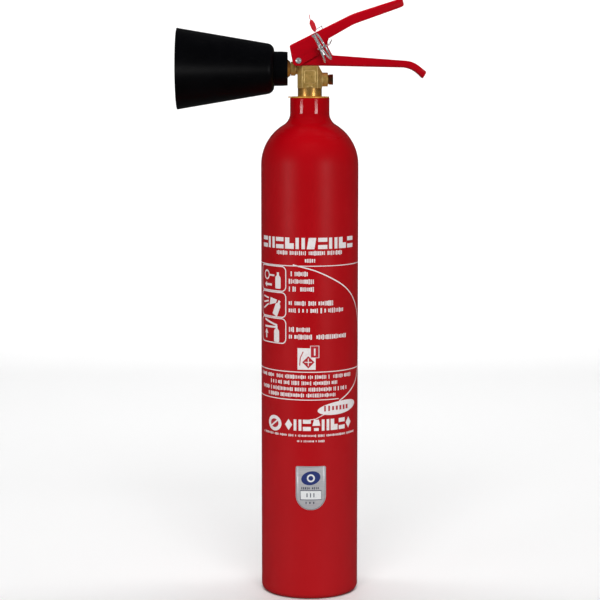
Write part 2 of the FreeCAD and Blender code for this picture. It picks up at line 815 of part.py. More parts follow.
def make_carrying_handle():
    """Sheet-steel channel, open upwards, with two ears that rise inside the lever's cheeks."""
    body = new_body("carrying_handle")
    drop = "(handle_drop_z - handle_tip_z) / (handle_tip_x - handle_drop_x)"
    above = "lever_tip_z"
    back_x, front_x = "handle_heel_x - 5", "handle_tip_x + 8"
    blank = [
        (front_x, "handle_tip_z - 8 * " + drop),
        ("handle_drop_x", "handle_drop_z", "25"),
        ("handle_flat_end", "block_top", "200"),
        (back_x, "block_top"),
        (back_x, above),
        (front_x, above),
    ]
    lift = "handle_sheet / cos(atan(%s))" % drop
    channel = [
        (back_x + " - 1", "block_top + handle_sheet"),
        ("handle_flat_end", "block_top + handle_sheet", "200"),
        ("handle_drop_x + 0.72", "handle_drop_z + handle_sheet", "25 - handle_sheet"),
        (front_x + " + 1", "handle_tip_z - 9 * %s + %s" % (drop, lift)),
        (front_x + " + 1", above + " + 1"),
        (back_x + " - 1", above + " + 1"),
    ]
    side = [
        ("handle_heel_x", "block_top - 1"),
        ("handle_heel_x", "handle_heel_top", "5"),
        ("ear_top_x", "ear_top_z", "1.2"),
        ("ear_waist_x", "ear_waist_high", "4"),
        ("ear_waist_x", "ear_waist_low", "6"),
        ("ear_foot_x", "ear_foot_z", "2"),
        ("handle_shoulder_x", "handle_shoulder_z", "25"),
        ("handle_tip_x + handle_tip_lean", "handle_tip_z + handle_tip_depth", "2"),
        ("handle_tip_x", "handle_tip_z - 1"),
        ("handle_tip_x", "handle_tip_z - 4"),
        ("handle_heel_x", "handle_tip_z - 4"),
    ]
    frame = box_corners("handle_heel_x - 10", "handle_tip_z - 20", "handle_tip_x + 12", "lever_tip_z + 5")
    bent_sheet(
        body, "handle", blank, channel, side, frame, "handle_half_width", "handle_sheet", "handle_bend"
    )
    boss_hole = circle_sketch(
        body, "handle_boss_hole", "XY_Plane", "0", "0", "top_boss_radius + 0.1", ("0", "0", "block_top")
    )
    pocket(body, boss_hole, "handle_sheet", Reversed=True)
    notch = box_corners("handle_heel_x - 1", "-notch_half_width", "notch_end", "notch_half_width")
    pocket(
        body,
        outline(body, "handle_notch", "XY_Plane", notch, ("0", "0", "block_top")),
        "handle_sheet",
        Reversed=True,
    )
    hole = circle_sketch(body, "handle_hinge_hole", "XZ_Plane", "hinge_x", "hinge_z", "hinge_radius")
    pocket(body, hole, "4 * handle_half_width", SideType="Symmetric")
    pocket(body, pin_slot_sketch(body), "4 * handle_half_width", SideType="Symmetric")
    keep(body, "carrying_handle")


def pin_slot_sketch(body):
    """Slot in the ears along the arc that the safety pin takes as the lever turns."""
    reach_x = "(pin_x - (hinge_x))"
    reach_z = "(pin_z - hinge_z)"
    half = "(pin_radius + pin_clearance)"
    swing = "lever_travel + 0.6"
    end_x = "(hinge_x + %s * cos(%s) + %s * sin(%s))" % (reach_x, swing, reach_z, swing)
    end_z = "(hinge_z - %s * sin(%s) + %s * cos(%s))" % (reach_x, swing, reach_z, swing)
    along_x, along_z = "sin(slot_lean)", "cos(slot_lean)"
    corners = []
    for x, z, sign in (("pin_x", "pin_z", 1), (end_x, end_z, -1)):
        for side in (-1, 1):
            across = sign * side
            corners.append(
                (
                    "%s - %d * %s * %s + %d * %s * %s" % (x, sign, half, along_x, across, half, along_z),
                    "%s + %d * %s * %s + %d * %s * %s" % (z, sign, half, along_z, across, half, along_x),
                    "0.6",
                )
            )
    return outline(body, "handle_pin_slot", "XZ_Plane", corners)


def make_lever_pivot_rivet():
    """Rivet through the lever's cheeks and the handle's ears, with two domed heads."""
    body = new_body("lever_pivot_rivet")
    inner = "lever_half_width + 0.1"
    head = inner + " + hinge_head_height"
    corners = [
        ("0", "-(%s)" % head),
        ("hinge_head_radius", "-(%s)" % head, "1.1"),
        ("hinge_head_radius", "-(%s)" % inner),
        ("hinge_radius", "-(%s)" % inner),
        ("hinge_radius", inner),
        ("hinge_head_radius", inner),
        ("hinge_head_radius", head, "1.1"),
        ("0", head),
    ]
    revolve(body, outline(body, "rivet_half", "XY_Plane", corners, ("hinge_x", "0", "hinge_z")))
    keep(body, "lever_pivot_rivet")


def make_safety_pin():
    """Steel pin across the lever and the ears, with a wire eye outside the near cheek."""
    shank = doc.addObject("Part::Cylinder", "pin_shank")
    shank.Placement = Placement(Vector(0, 0, 0), Rotation(Vector(1, 0, 0), 90))
    bind(
        shank,
        Radius="pin_radius",
        Height="pin_tip_y - eye_y - eye_mean_radius",
        Placement__Base__x="pin_x",
        Placement__Base__y="pin_tip_y",
        Placement__Base__z="pin_z",
    )
    eye = doc.addObject("Part::Torus", "pin_eye")
    eye.Placement = Placement(Vector(0, 0, 0), Rotation(Vector(0, 1, 0), 180.0 - size("ring_lean")))
    bind(
        eye,
        Radius1="eye_mean_radius",
        Radius2="eye_wire",
        Placement__Base__x="pin_x",
        Placement__Base__y="eye_y",
        Placement__Base__z="pin_z",
    )
    pin = doc.addObject("Part::Fuse", "safety_pin")
    pin.Base = shank
    pin.Tool = eye
    keep(pin, "safety_pin")


def make_pull_ring():
    """Split ring of two turns that part towards the bottom, hung in the pin's eye."""
    turns = []
    lean = math.radians(size("ring_lean"))
    top = Vector(-math.sin(lean), 0, math.cos(lean)) * size("ring_mean_radius")
    centre = Vector(size("pin_x"), size("eye_y") - size("ring_mean_radius"), size("pin_z"))
    across = Vector(math.cos(lean), 0, math.sin(lean))
    for index, side in enumerate((-1, 1)):
        splay = Rotation(Vector(0, 1, 0), -side * size("ring_splay"))
        square = Rotation(Vector(0, 0, 1), across)
        turn = doc.addObject("Part::Torus", "ring_turn_%d" % index)
        hub = centre + top + splay.multVec(top * -1) + across * (side * size("ring_pitch") / 2)
        turn.Placement = Placement(hub, splay.multiply(square))
        bind(turn, Radius1="ring_mean_radius", Radius2="ring_wire")
        turns.append(turn)
    ring = doc.addObject("Part::Fuse", "pull_ring")
    ring.Base, ring.Tool = turns
    keep(ring, "pull_ring")


def make_tamper_seal():
    """Moulded tag: a flat bar with rounded ends, leaning as it hangs on its wire."""
    body = new_body("tamper_seal")
    corners = [
        (x, z, "1.2")
        for x, z in box_corners("-seal_width / 2", "-seal_length / 2", "seal_width / 2", "seal_length / 2")
    ]
    sketch = outline(body, "seal_side", "XZ_Plane", corners)
    pad(body, sketch, "seal_thick", SideType="Symmetric")
    body.Placement = Placement(Vector(0, 0, 0), Rotation(Vector(0, 1, 0), -size("seal_lean")))
    bind(body, Placement__Base__x="seal_x", Placement__Base__y="seal_y", Placement__Base__z="seal_z")
    keep(body, "tamper_seal")


def rounded_wire(points, radius):
    """Straight runs joined by tangent arcs of one radius."""
    edges = []
    start = points[0]
    for before, corner, after in zip(points, points[1:], points[2:]):
        back = (before - corner).normalize()
        ahead = (after - corner).normalize()
        half = back.getAngle(ahead) / 2
        setback = radius / math.tan(half)
        first = corner + back * setback
        last = corner + ahead * setback
        middle = corner + (back + ahead).normalize() * (radius / math.sin(half) - radius)
        edges.append(Part.LineSegment(start, first).toShape())
        edges.append(Part.Arc(first, middle, last).toShape())
        start = last
    edges.append(Part.LineSegment(start, points[-1]).toShape())
    return Part.Wire(edges)


def make_seal_wire():
    """Stiff wire from the tag over the lever, round the pin's tip and back through the notch to the eye."""
    points = [
        Vector(5.6, -17.6, 592.6),
        Vector(10.5, -15.0, 596.0),
        Vector(12.5, 13.0, 597.2),
        Vector(13.6, 17.6, 592.0),
        Vector(14.6, 17.8, 581.0),
        Vector(20.0, 16.0, 577.0),
        Vector(22.4, 8.0, 581.5),
        Vector(22.6, -10.0, 583.0),
        Vector(19.6, -16.6, 578.6),
        Vector(16.2, -19.6, 576.6),
    ]
    path = rounded_wire(points, 1.6)
    section = Part.Wire(Part.Circle(points[0], points[1] - points[0], size("wire_radius")).toShape())
    wire = doc.addObject("Part::Feature", "seal_wire")
    wire.Shape = path.makePipeShell([section], True, True)
    keep(wire, "seal_wire")


def make_shield_sticker():
    """Thin shield-shaped sticker that follows the front of the cylinder."""
    film_outer = doc.addObject("Part::Cylinder", "sticker_outer")
    bind(
        film_outer,
        Radius="shell_radius + sticker_thick",
        Height="sticker_top - sticker_bottom + 20",
        Placement__Base__z="sticker_bottom - 10",
    )
    film_inner = doc.addObject("Part::Cylinder", "sticker_inner")
    bind(
        film_inner,
        Radius="shell_radius",
        Height="sticker_top - sticker_bottom + 30",
        Placement__Base__z="sticker_bottom - 15",
    )
    film = doc.addObject("Part::Cut", "sticker_film")
    film.Base = film_outer
    film.Tool = film_inner
    stamp = new_body("sticker_stamp")
    low, high = "sticker_bottom", "sticker_top"
    corners = [
        ("sticker_x - sticker_half_width", high, "2"),
        ("sticker_x - sticker_half_width", low, "sticker_half_width - 0.5"),
        ("sticker_x + sticker_half_width", low, "sticker_half_width - 0.5"),
        ("sticker_x + sticker_half_width", high, "2"),
    ]
    pad(stamp, outline(stamp, "sticker_outline", "XZ_Plane", corners), "shell_radius + 5")
    sticker = doc.addObject("Part::Common", "shield_sticker")
    sticker.Base = film
    sticker.Tool = stamp
    keep(sticker, "shield_sticker")


def check_document():
    """Stop if any object failed, or any sub-part isn't a valid solid."""
    doc.recompute()
    for item in doc.Objects:
        if {"Invalid", "Error"} & set(item.State):
            raise ValueError("%s is in state %s" % (item.Label, item.State))
    for part in sub_parts:
        shape = part.Shape
        if shape.isNull() or not shape.isValid() or not shape.Solids:
            raise ValueError("%s has no valid solid" % part.Label)
        print("%-20s %d solid(s), %.1f mm3" % (part.Label, len(shape.Solids), shape.Volume))


make_cylinder()
make_service_ring()
make_valve_body()
make_horn_side()
make_burst_disc()
make_gland()
make_spindle()
make_spring_side()
make_operating_lever()
make_carrying_handle()
make_lever_pivot_rivet()
make_safety_pin()
make_pull_ring()
make_tamper_seal()
make_seal_wire()
make_shield_sticker()
check_document()

os.makedirs("parts", exist_ok=True)
for part in sub_parts:
    part.Shape.exportStep("parts/%s.step" % part.Label)
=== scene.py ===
"""Looks of a portable carbon dioxide fire extinguisher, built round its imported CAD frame.

Lengths are in metres in the frame's own axes. The cylinder stands on the origin along +Z, the horn
points to -X, the lever and the handle reach to +X, and the printed front faces -Y.
"""

import logging
import math
from dataclasses import dataclass, field
from enum import Enum
from typing import Iterable, Optional, Sequence

import bmesh
import bpy
from mathutils import Matrix, Vector


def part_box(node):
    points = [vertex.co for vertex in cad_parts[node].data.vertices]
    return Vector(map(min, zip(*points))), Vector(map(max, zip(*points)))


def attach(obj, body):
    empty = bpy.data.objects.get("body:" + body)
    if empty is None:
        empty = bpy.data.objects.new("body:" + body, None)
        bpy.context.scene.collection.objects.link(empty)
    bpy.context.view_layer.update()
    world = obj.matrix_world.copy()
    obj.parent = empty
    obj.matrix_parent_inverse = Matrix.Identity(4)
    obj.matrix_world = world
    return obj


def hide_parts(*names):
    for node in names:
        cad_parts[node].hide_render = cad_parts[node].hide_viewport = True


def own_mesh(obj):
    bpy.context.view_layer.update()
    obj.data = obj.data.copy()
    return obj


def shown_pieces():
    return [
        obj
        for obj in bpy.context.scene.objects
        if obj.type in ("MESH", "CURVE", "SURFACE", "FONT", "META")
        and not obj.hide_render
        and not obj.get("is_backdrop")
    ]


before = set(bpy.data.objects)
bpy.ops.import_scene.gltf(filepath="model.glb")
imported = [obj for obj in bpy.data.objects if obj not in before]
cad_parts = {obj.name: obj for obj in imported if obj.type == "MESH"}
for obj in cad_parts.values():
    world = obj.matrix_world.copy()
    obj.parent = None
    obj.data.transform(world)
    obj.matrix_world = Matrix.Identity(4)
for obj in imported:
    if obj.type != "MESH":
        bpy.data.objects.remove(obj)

MM = 0.001
Colour = tuple[float, float, float]
Point2 = tuple[float, float]
Obj = bpy.types.Object
Socket = bpy.types.NodeSocket
log = logging.getLogger("extinguisher")


class Axis(Enum):
    """Which frame axis a turned piece runs along."""

    X = "x"
    Y = "y"
    Z = "z"

    def place(self, radius: float, angle: float, along: float) -> Vector:
        """A point at a radius and an angle round this axis.

        Args:
            radius: Distance from the axis.
            angle: Angle round the axis, in radians.
            along: Distance along the axis.

        Returns:
            The point, before the piece's origin is added.
        """
        side, up = radius * math.cos(angle), radius * math.sin(angle)
        if self is Axis.X:
            return Vector((along, side, up))
        if self is Axis.Y:
            return Vector((up, along, side))
        return Vector((side, up, along))


class Mark(Enum):
    """Plain shapes in a unit square, each a set of filled outlines."""

    BARS = (((0, 0), (1, 0), (1, 0.36), (0, 0.36)), ((0, 0.64), (1, 0.64), (1, 1), (0, 1)))
    SLAB = (((0, 0), (0.8, 0), (1, 1), (0.2, 1)),)
    POSTS = (((0, 0), (0.36, 0), (0.36, 1), (0, 1)), ((0.64, 0), (1, 0), (1, 1), (0.64, 1)))
    GEM = (((0.5, 0), (1, 0.5), (0.5, 1), (0, 0.5)),)
    STEP = (((0, 0), (1, 0), (1, 0.5), (0.5, 0.5), (0.5, 1), (0, 1)),)
    CAP = (((0, 0.45), (1, 0.45), (0.8, 1), (0.2, 1)), ((0.2, 0), (0.8, 0), (0.8, 0.25), (0.2, 0.25)))


class Body(Enum):
    """The CAD bodies that pieces ride on."""

    VESSEL = "vessel"
    LEVER = "lever"
    PIN = "pin"
    RING = "ring"


# ---------------------------------------------------------------------------------------------- finishes


class Graph:
    """A thin wrapper over one material's node tree."""

    def __init__(self, name: str) -> None:
        """Make an empty node material.

        Args:
            name: The material's name.
        """
        self.material = bpy.data.materials.new(name)
        self.material.use_nodes = True
        self.tree = self.material.node_tree
        self.tree.nodes.clear()
        self.output = self.node("ShaderNodeOutputMaterial")
        self.shader = self.node("ShaderNodeBsdfPrincipled")
        self.link(self.shader.outputs["BSDF"], self.output.inputs["Surface"])
        self.coordinates = self.node("ShaderNodeTexCoord").outputs["Object"]

    def node(self, kind: str, **values: object) -> bpy.types.Node:
        """Add a node and set its inputs by name; an underscore in a name stands for a space.

        Args:
            kind: The node's type.
            values: Input values.

        Returns:
            The new node.
        """
        made = self.tree.nodes.new(kind)
        for name, value in values.items():
            made.inputs[name.replace("_", " ")].default_value = value
        return made

    def link(self, source: Socket, target: Socket) -> None:
        """Join two sockets."""
        self.tree.links.new(source, target)

    def set(self, **values: object) -> None:
        """Set constants on the shader's own sockets, with underscores for spaces."""
        for name, value in values.items():
            self.shader.inputs[name.replace("_", " ")].default_value = value

    def noise(
        self, scale: float, detail: float = 3.0, stretch: Sequence[float] = (1, 1, 1)
    ) -> Socket:
        """A noise pattern fixed to the object.

        Args:
            scale: Features to the metre.
            detail: Octaves of finer noise.
            stretch: Scale along each axis, for streaks.

        Returns:
            The pattern's value from 0 to 1.
        """
        mapping = self.node("ShaderNodeMapping", Scale=tuple(stretch))
        self.link(self.coordinates, mapping.inputs["Vector"])
        noise = self.node("ShaderNodeTexNoise", Scale=scale, Detail=detail, Roughness=0.55)
        self.link(mapping.outputs["Vector"], noise.inputs["Vector"])
        return noise.outputs["Fac"]

    def between(
        self, factor: Socket, low: Colour, high: Colour, span: Point2 = (0.3, 0.7)
    ) -> Socket:
        """Blend two colours by a pattern.

        Args:
            factor: The pattern.
            low: Colour where the pattern is low.
            high: Colour where the pattern is high.
            span: The pattern's values at which each colour is pure.

        Returns:
            The blended colour.
        """
        ramp = self.tree.nodes.new("ShaderNodeValToRGB")
        first, last = ramp.color_ramp.elements
        first.position, last.position = span
        first.color, last.color = (*low, 1.0), (*high, 1.0)
        self.link(factor, ramp.inputs["Fac"])
        return ramp.outputs["Color"]

    def spread(self, factor: Socket, low: float, high: float) -> Socket:
        """Map a pattern onto a range of numbers.

        Args:
            factor: The pattern.
            low: Value where the pattern is 0.3.
            high: Value where the pattern is 0.7.

        Returns:
            The mapped value.
        """
        mapped = self.node("ShaderNodeMapRange", From_Min=0.3, From_Max=0.7, To_Min=low, To_Max=high)
        self.link(factor, mapped.inputs["Value"])
        return mapped.outputs["Result"]

    def colour(self, socket: Socket) -> None:
        """Drive the base colour."""
        self.link(socket, self.shader.inputs["Base Color"])

    def roughness(self, socket: Socket) -> None:
        """Drive the roughness."""
        self.link(socket, self.shader.inputs["Roughness"])

    def bump(self, *heights: tuple[Socket, float]) -> None:
        """Stack bumps on the surface.

        Args:
            heights: Pairs of a pattern and its depth in metres.
        """
        last: Optional[bpy.types.Node] = None
        for pattern, depth in heights:
            bump = self.node("ShaderNodeBump", Strength=1.0, Distance=depth)
            self.link(pattern, bump.inputs["Height"])
            if last is not None:
                self.link(last.outputs["Normal"], bump.inputs["Normal"])
            last = bump
        if last is not None:
            self.link(last.outputs["Normal"], self.shader.inputs["Normal"])


@dataclass(frozen=True)
class Finish:
    """A named surface; each kind of finish says how its nodes are made."""

    name: str
    slot: str

    def material(self) -> bpy.types.Material:
        """The finish's material, made once.

        Returns:
            The material.
        """
        made = bpy.data.materials.get(self.name)
        if made is None:
            graph = Graph(self.name)
            self.wire(graph)
            made = graph.material
        return made

    def wire(self, graph: Graph) -> None:
        """Wire the finish's own nodes.

        Args:
            graph: A fresh material with its shader.
        """
        raise NotImplementedError(self.name)


@dataclass(frozen=True)
class Enamel(Finish):
    """Sprayed gloss enamel with a faint orange peel and a slight drift in its colour.

    The gloss is its roughness low down and the polished value its roughness round the neck.
    """

    shade: Colour = (0.42, 0.001, 0.005)
    deep: Colour = (0.39, 0.001, 0.004)
    gloss: float = 0.2
    polished: float = 0.2
    neck_from: float = 0.47
    neck_to: float = 0.5
    mirror: float = 0.21

    def wire(self, graph: Graph) -> None:
        """Wire the enamel's nodes.

        Args:
            graph: A fresh material with its shader.
        """
        graph.colour(graph.between(graph.noise(14.0, 4.0), self.deep, self.shade))
        height = graph.node("ShaderNodeSeparateXYZ")
        graph.link(graph.coordinates, height.inputs[0])
        flatting = graph.node(
            "ShaderNodeMapRange",
            From_Min=self.neck_from,
            From_Max=self.neck_to,
            To_Min=self.gloss,
            To_Max=self.polished,
        )
        graph.link(height.outputs["Z"], flatting.inputs["Value"])
        sheen = graph.node("ShaderNodeMath")
        graph.link(flatting.outputs["Result"], sheen.inputs[0])
        graph.link(graph.spread(graph.noise(60.0, 3.0), -0.02, 0.02), sheen.inputs[1])
        graph.roughness(sheen.outputs[0])
        graph.set(Specular_IOR_Level=self.mirror)
        graph.bump((graph.noise(140.0, 1.0), 0.0000015))


@dataclass(frozen=True)
class CastBrass(Finish):
    """Forged brass left as it comes from the die: mottled, with a fine pebbled skin."""

    bright: Colour = (0.76, 0.49, 0.15)
    dull: Colour = (0.54, 0.33, 0.085)
    grain: float = 0.00004

    def wire(self, graph: Graph) -> None:
        """Wire the forging's nodes.

        Args:
            graph: A fresh material with its shader.
        """
        graph.colour(graph.between(graph.noise(300.0, 5.0), self.dull, self.bright, (0.3, 0.66)))
        graph.roughness(graph.spread(graph.noise(500.0, 3.0), 0.26, 0.46))
        graph.set(Metallic=0.55)
        graph.bump((graph.noise(1100.0, 3.0), self.grain), (graph.noise(260.0, 2.0), self.grain))


@dataclass(frozen=True)
class BrightMetal(Finish):
    """Turned or drawn metal with fine lines that run one way."""

    shade: Colour = (0.62, 0.62, 0.63)
    tarnish: Colour = (0.42, 0.42, 0.44)
    smoothness: float = 0.24
    drift: float = 0.16
    lines: tuple[float, float, float] = (1, 1, 8)
    metal: float = 1.0

    def wire(self, graph: Graph) -> None:
        """Wire the metal's nodes.

        Args:
            graph: A fresh material with its shader.
        """
        graph.colour(graph.between(graph.noise(120.0, 4.0), self.tarnish, self.shade))
        drawn = graph.noise(300.0, 4.0, self.lines)
        graph.roughness(graph.spread(drawn, self.smoothness, self.smoothness + self.drift))
        graph.set(Metallic=self.metal)
        graph.bump((graph.noise(700.0, 2.0, self.lines), 0.00001))


@dataclass(frozen=True)
class Moulding(Finish):
    """Moulded plastic or rubber with a spark-eroded skin."""

    shade: Colour = (0.0007, 0.0007, 0.0011)
    worn: Colour = (0.0016, 0.0016, 0.0021)
    gloss: float = 0.36
    skin: float = 0.00003
    shine: float = 0.12

    def wire(self, graph: Graph) -> None:
        """Wire the moulding's nodes.

        Args:
            graph: A fresh material with its shader.
        """
        graph.colour(graph.between(graph.noise(45.0, 4.0), self.shade, self.worn))
        graph.roughness(graph.spread(graph.noise(220.0, 3.0), self.gloss - 0.05, self.gloss + 0.06))
        graph.set(Specular_IOR_Level=self.shine)
        graph.bump((graph.noise(1400.0, 2.0), self.skin))


@dataclass(frozen=True)
class Ink(Finish):
    """Screen-printed ink, with a little of the ground showing through."""

    shade: Colour = (0.80, 0.76, 0.76)
    thin: Colour = (0.70, 0.58, 0.58)

    def wire(self, graph: Graph) -> None:
        """Wire the ink's nodes.

        Args:
            graph: A fresh material with its shader.
        """
        graph.colour(graph.between(graph.noise(500.0, 4.0), self.thin, self.shade, (0.25, 0.45)))
        graph.set(Roughness=0.42)
        graph.bump((graph.noise(900.0, 2.0), 0.00002))


@dataclass(frozen=True)
class Glow(Finish):
    """An evenly lit white surround."""

    strength: float = 1.0

    def wire(self, graph: Graph) -> None:
        """Set the glow.

        Args:
            graph: A fresh material with its shader.
        """
        graph.set(Emission_Color=(1.0, 1.0, 1.0, 1.0), Emission_Strength=self.strength)


@dataclass(frozen=True)
class Film(Finish):
    """Brushed silver film of a sticker."""

    shade: Colour = (0.62, 0.62, 0.64)
    streak: Colour = (0.50, 0.50, 0.53)

    def wire(self, graph: Graph) -> None:
        """Wire the film's nodes.

        Args:
            graph: A fresh material with its shader.
        """
        graph.colour(graph.between(graph.noise(90.0, 5.0, (1, 1, 12)), self.streak, self.shade))
        graph.set(Metallic=0.3, Roughness=0.34)
        graph.bump((graph.noise(300.0, 2.0, (1, 1, 10)), 0.00002))


SHELL_RED = Enamel("shell_enamel", "red_enamel_shell", gloss=0.42, polished=0.07)
STEEL_RED = Enamel(
    "lever_enamel",
    "red_enamel_steel",
    shade=(0.46, 0.001, 0.008),
    deep=(0.38, 0.001, 0.006),
    gloss=0.18,
)
FORGING = CastBrass("forged_brass", "brass_forging")
# Brighter brass for the forging's rounded edges and for faces turned part way to the side: a painted
# highlight where those edges catch the light.
HIGHLIGHT_BRASS = CastBrass(
    "painted_highlight_brass",
    "brass_forging",
    bright=(0.98, 0.74, 0.32),
    dull=(0.86, 0.60, 0.22),
)
TURNED_BRASS = BrightMetal(
    "turned_brass",
    "brass_turned",
    shade=(0.86, 0.50, 0.15),
    tarnish=(0.70, 0.37, 0.09),
    lines=(8, 1, 1),
    metal=0.85,
)
DARK_BRASS = BrightMetal(
    "dark_plug_brass",
    "brass_turned",
    shade=(0.42, 0.28, 0.12),
    tarnish=(0.16, 0.10, 0.05),
    lines=(8, 1, 1),
)
GOLD_SHEET = BrightMetal(
    "gold_sheet",
    "gold_tab",
    shade=(0.92, 0.52, 0.10),
    tarnish=(0.80, 0.42, 0.07),
    smoothness=0.3,
    metal=0.4,
)
STEEL = BrightMetal(
    "bright_steel",
    "bare_steel",
    shade=(0.88, 0.89, 0.9),
    tarnish=(0.74, 0.75, 0.77),
    smoothness=0.14,
    metal=0.75,
)
SPRING_STEEL = BrightMetal(
    "spring_steel",
    "spring_steel",
    shade=(0.4, 0.4, 0.42),
    tarnish=(0.2, 0.2, 0.22),
)
TUBE_METAL = BrightMetal(
    "tube_aluminium",
    "tube_aluminium",
    shade=(0.75, 0.76, 0.78),
    tarnish=(0.6, 0.61, 0.63),
)
HORN_BLACK = Moulding("horn_black", "black_horn")
RUBBER = Moulding("seal_rubber", "black_rubber", gloss=0.6)
NYLON = Moulding(
    "natural_nylon",
    "nylon_white",
    shade=(0.8, 0.79, 0.74),
    worn=(0.7, 0.69, 0.63),
    shine=0.5,
)
SEAL_RED = Moulding(
    "seal_red",
    "seal_red",
    shade=(0.55, 0.01, 0.02),
    worn=(0.45, 0.008, 0.015),
    gloss=0.3,
    shine=0.5,
)
WHITE_INK = Ink("white_ink", "red_enamel_shell")
RED_INK = Ink("red_ink", "red_enamel_shell", shade=(0.45, 0.01, 0.02), thin=(0.40, 0.02, 0.03))
BLUE_INK = Ink("blue_ink", "sticker_film", shade=(0.015, 0.03, 0.16), thin=(0.02, 0.04, 0.2))
GREY_INK = Ink("grey_ink", "sticker_film", shade=(0.05, 0.06, 0.1), thin=(0.1, 0.11, 0.15))
PALE_INK = Ink("pale_ink", "sticker_film", shade=(0.72, 0.73, 0.74), thin=(0.62, 0.63, 0.66))
SILVER_FILM = Film("silver_film", "sticker_film")

NODE_FINISHES: dict[str, Finish] = {
    "cylinder": SHELL_RED,
    "service_ring": GOLD_SHEET,
    "valve_body": FORGING,
    "discharge_nozzle": TURNED_BRASS,
    "horn_gasket": RUBBER,
    "horn_collar": HORN_BLACK,
    "horn": HORN_BLACK,
    "burst_disc": TURNED_BRASS,
    "burst_disc_washer": NYLON,
    "burst_disc_plug": DARK_BRASS,
    "gland_nut": TURNED_BRASS,
    "spindle_o_ring": RUBBER,
    "valve_spindle": STEEL,
    "valve_seat_insert": NYLON,
    "spindle_cap": STEEL,
    "spring_retainer": TURNED_BRASS,
    "valve_spring": SPRING_STEEL,
    "dip_tube": TUBE_METAL,
    "operating_lever": STEEL_RED,
    "carrying_handle": STEEL_RED,
    "lever_pivot_rivet": STEEL,
    "safety_pin": STEEL,
    "pull_ring": STEEL,
    "tamper_seal": SEAL_RED,
    "seal_wire": STEEL,
    "shield_sticker": SILVER_FILM,
}


# ------------------------------------------------------------------------------------------ mesh helpers


def placed(name: str, data: bpy.types.ID) -> Obj:
    """A new object in the scene.

    Args:
        name: The object's name.
        data: Its mesh, curve, light or camera.

    Returns:
        The object, at the origin.
    """
    made = bpy.data.objects.new(name, data)
    bpy.context.scene.collection.objects.link(made)
    return made


def evaluated(piece: Obj) -> bpy.types.Mesh:
    """A plain copy of a piece's mesh, with its live modifiers applied.

    Args:
        piece: The piece, in the scene.

    Returns:
        The new mesh.
    """
    bpy.context.view_layer.update()
    graph = bpy.context.evaluated_depsgraph_get()
    return bpy.data.meshes.new_from_object(piece.evaluated_get(graph))


def mesh_piece(
    name: str, verts: Sequence[Vector], faces: Sequence[Sequence[int]], finish: Finish
) -> Obj:
    """A new mesh object in the scene, with one material.

    Args:
        name: The piece's name.
        verts: Its points in the frame's axes.
        faces: Its faces, as indices of points.
        finish: Its surface.

    Returns:
        The object, at the origin.
    """
    mesh = bpy.data.meshes.new(name)
    mesh.from_pydata([tuple(v) for v in verts], [], [tuple(f) for f in faces])
    mesh.validate()
    mesh.materials.append(finish.material())
    return placed(name, mesh)


def dress(piece: Obj, body: Body, finish: Finish, *nodes: str) -> Obj:
    """Put a finished piece on its body.

    Args:
        piece: The piece.
        body: The body that it rides on.
        finish: Not used.
        nodes: CAD nodes that it stands for.

    Returns:
        The same piece.
    """
    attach(piece, body.value)
    if nodes:
        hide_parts(*nodes)
    return piece


def smooth(piece: Obj, angle: float = 32.0) -> None:
    """Shade smooth, with edges over an angle in degrees kept sharp."""
    piece.data.shade_smooth()
    piece.data.set_sharp_from_angle(angle=math.radians(angle))


def outward(piece: Obj) -> None:
    """Merge doubles and turn every face outwards.

    Args:
        piece: The piece, changed in place.
    """
    work = bmesh.new()
    work.from_mesh(piece.data)
    bmesh.ops.remove_doubles(work, verts=work.verts, dist=1e-7)
    bmesh.ops.recalc_face_normals(work, faces=work.faces)
    work.to_mesh(piece.data)
    work.free()


def rounded(corners: Sequence[Sequence[float]], steps: int = 8, closed: bool = False) -> list[Point2]:
    """An outline whose corners are arcs.

    Args:
        corners: Points, each with an optional third value, the corner's radius.
        steps: Straight pieces in each arc.
        closed: Whether the last corner joins the first.

    Returns:
        The outline's points.
    """
    count = len(corners)
    result: list[Point2] = []
    for index, corner in enumerate(corners):
        here = Vector(corner[:2])
        inner = closed or 0 < index < count - 1
        if len(corner) < 3 or not inner:
            result.append((here.x, here.y))
            continue
        back = (Vector(corners[index - 1][:2]) - here).normalized()
        ahead = (Vector(corners[(index + 1) % count][:2]) - here).normalized()
        half = back.angle(ahead) / 2
        setback = corner[2] / math.tan(half)
        centre = here + (back + ahead).normalized() * (corner[2] / math.sin(half))
        start, end = here + back * setback - centre, here + ahead * setback - centre
        sweep = math.atan2(start.x * end.y - start.y * end.x, start.dot(end))
        for step in range(steps + 1):
            turn = Matrix.Rotation(sweep * step / steps, 2)
            point = centre + turn @ start
            result.append((point.x, point.y))
    return result


def lathe(
    name: str,
    outline: Sequence[Point2],
    axis: Axis,
    origin: Vector,
    finish: Finish,
    segments: int = 128,
    angle: float = 32.0,
) -> Obj:
    """A turned piece from half its section.

    Args:
        name: The piece's name.
        outline: Points of (radius, distance along the axis); both ends on the axis, or a closed section.
        axis: The axis to turn about.
        origin: A point on that axis.
        finish: Its surface.
        segments: Steps round the axis.
        angle: Edges sharper than this stay sharp.

    Returns:
        The piece, closed, with its faces outwards.
    """
    verts: list[Vector] = []
    rows: list[list[int]] = []
    for radius, along in outline:
        start = len(verts)
        if radius < 1e-7:
            verts.append(origin + axis.place(0.0, 0.0, along))
            rows.append([start] * segments)
            continue
        verts += [origin + axis.place(radius, math.tau * k / segments, along) for k in range(segments)]
        rows.append(list(range(start, start + segments)))
    pairs = list(zip(rows, rows[1:]))
    if outline[0][0] > 1e-7 and outline[-1][0] > 1e-7:
        pairs.append((rows[-1], rows[0]))
    faces: list[list[int]] = []
    for low, high in pairs:
        for k in range(segments):
            nxt = (k + 1) % segments
            corners = list(dict.fromkeys((low[k], low[nxt], high[nxt], high[k])))
            if len(corners) > 2:
                faces.append(corners)
    piece = mesh_piece(name, verts, faces, finish)
    outward(piece)
    smooth(piece, angle)
    return piece


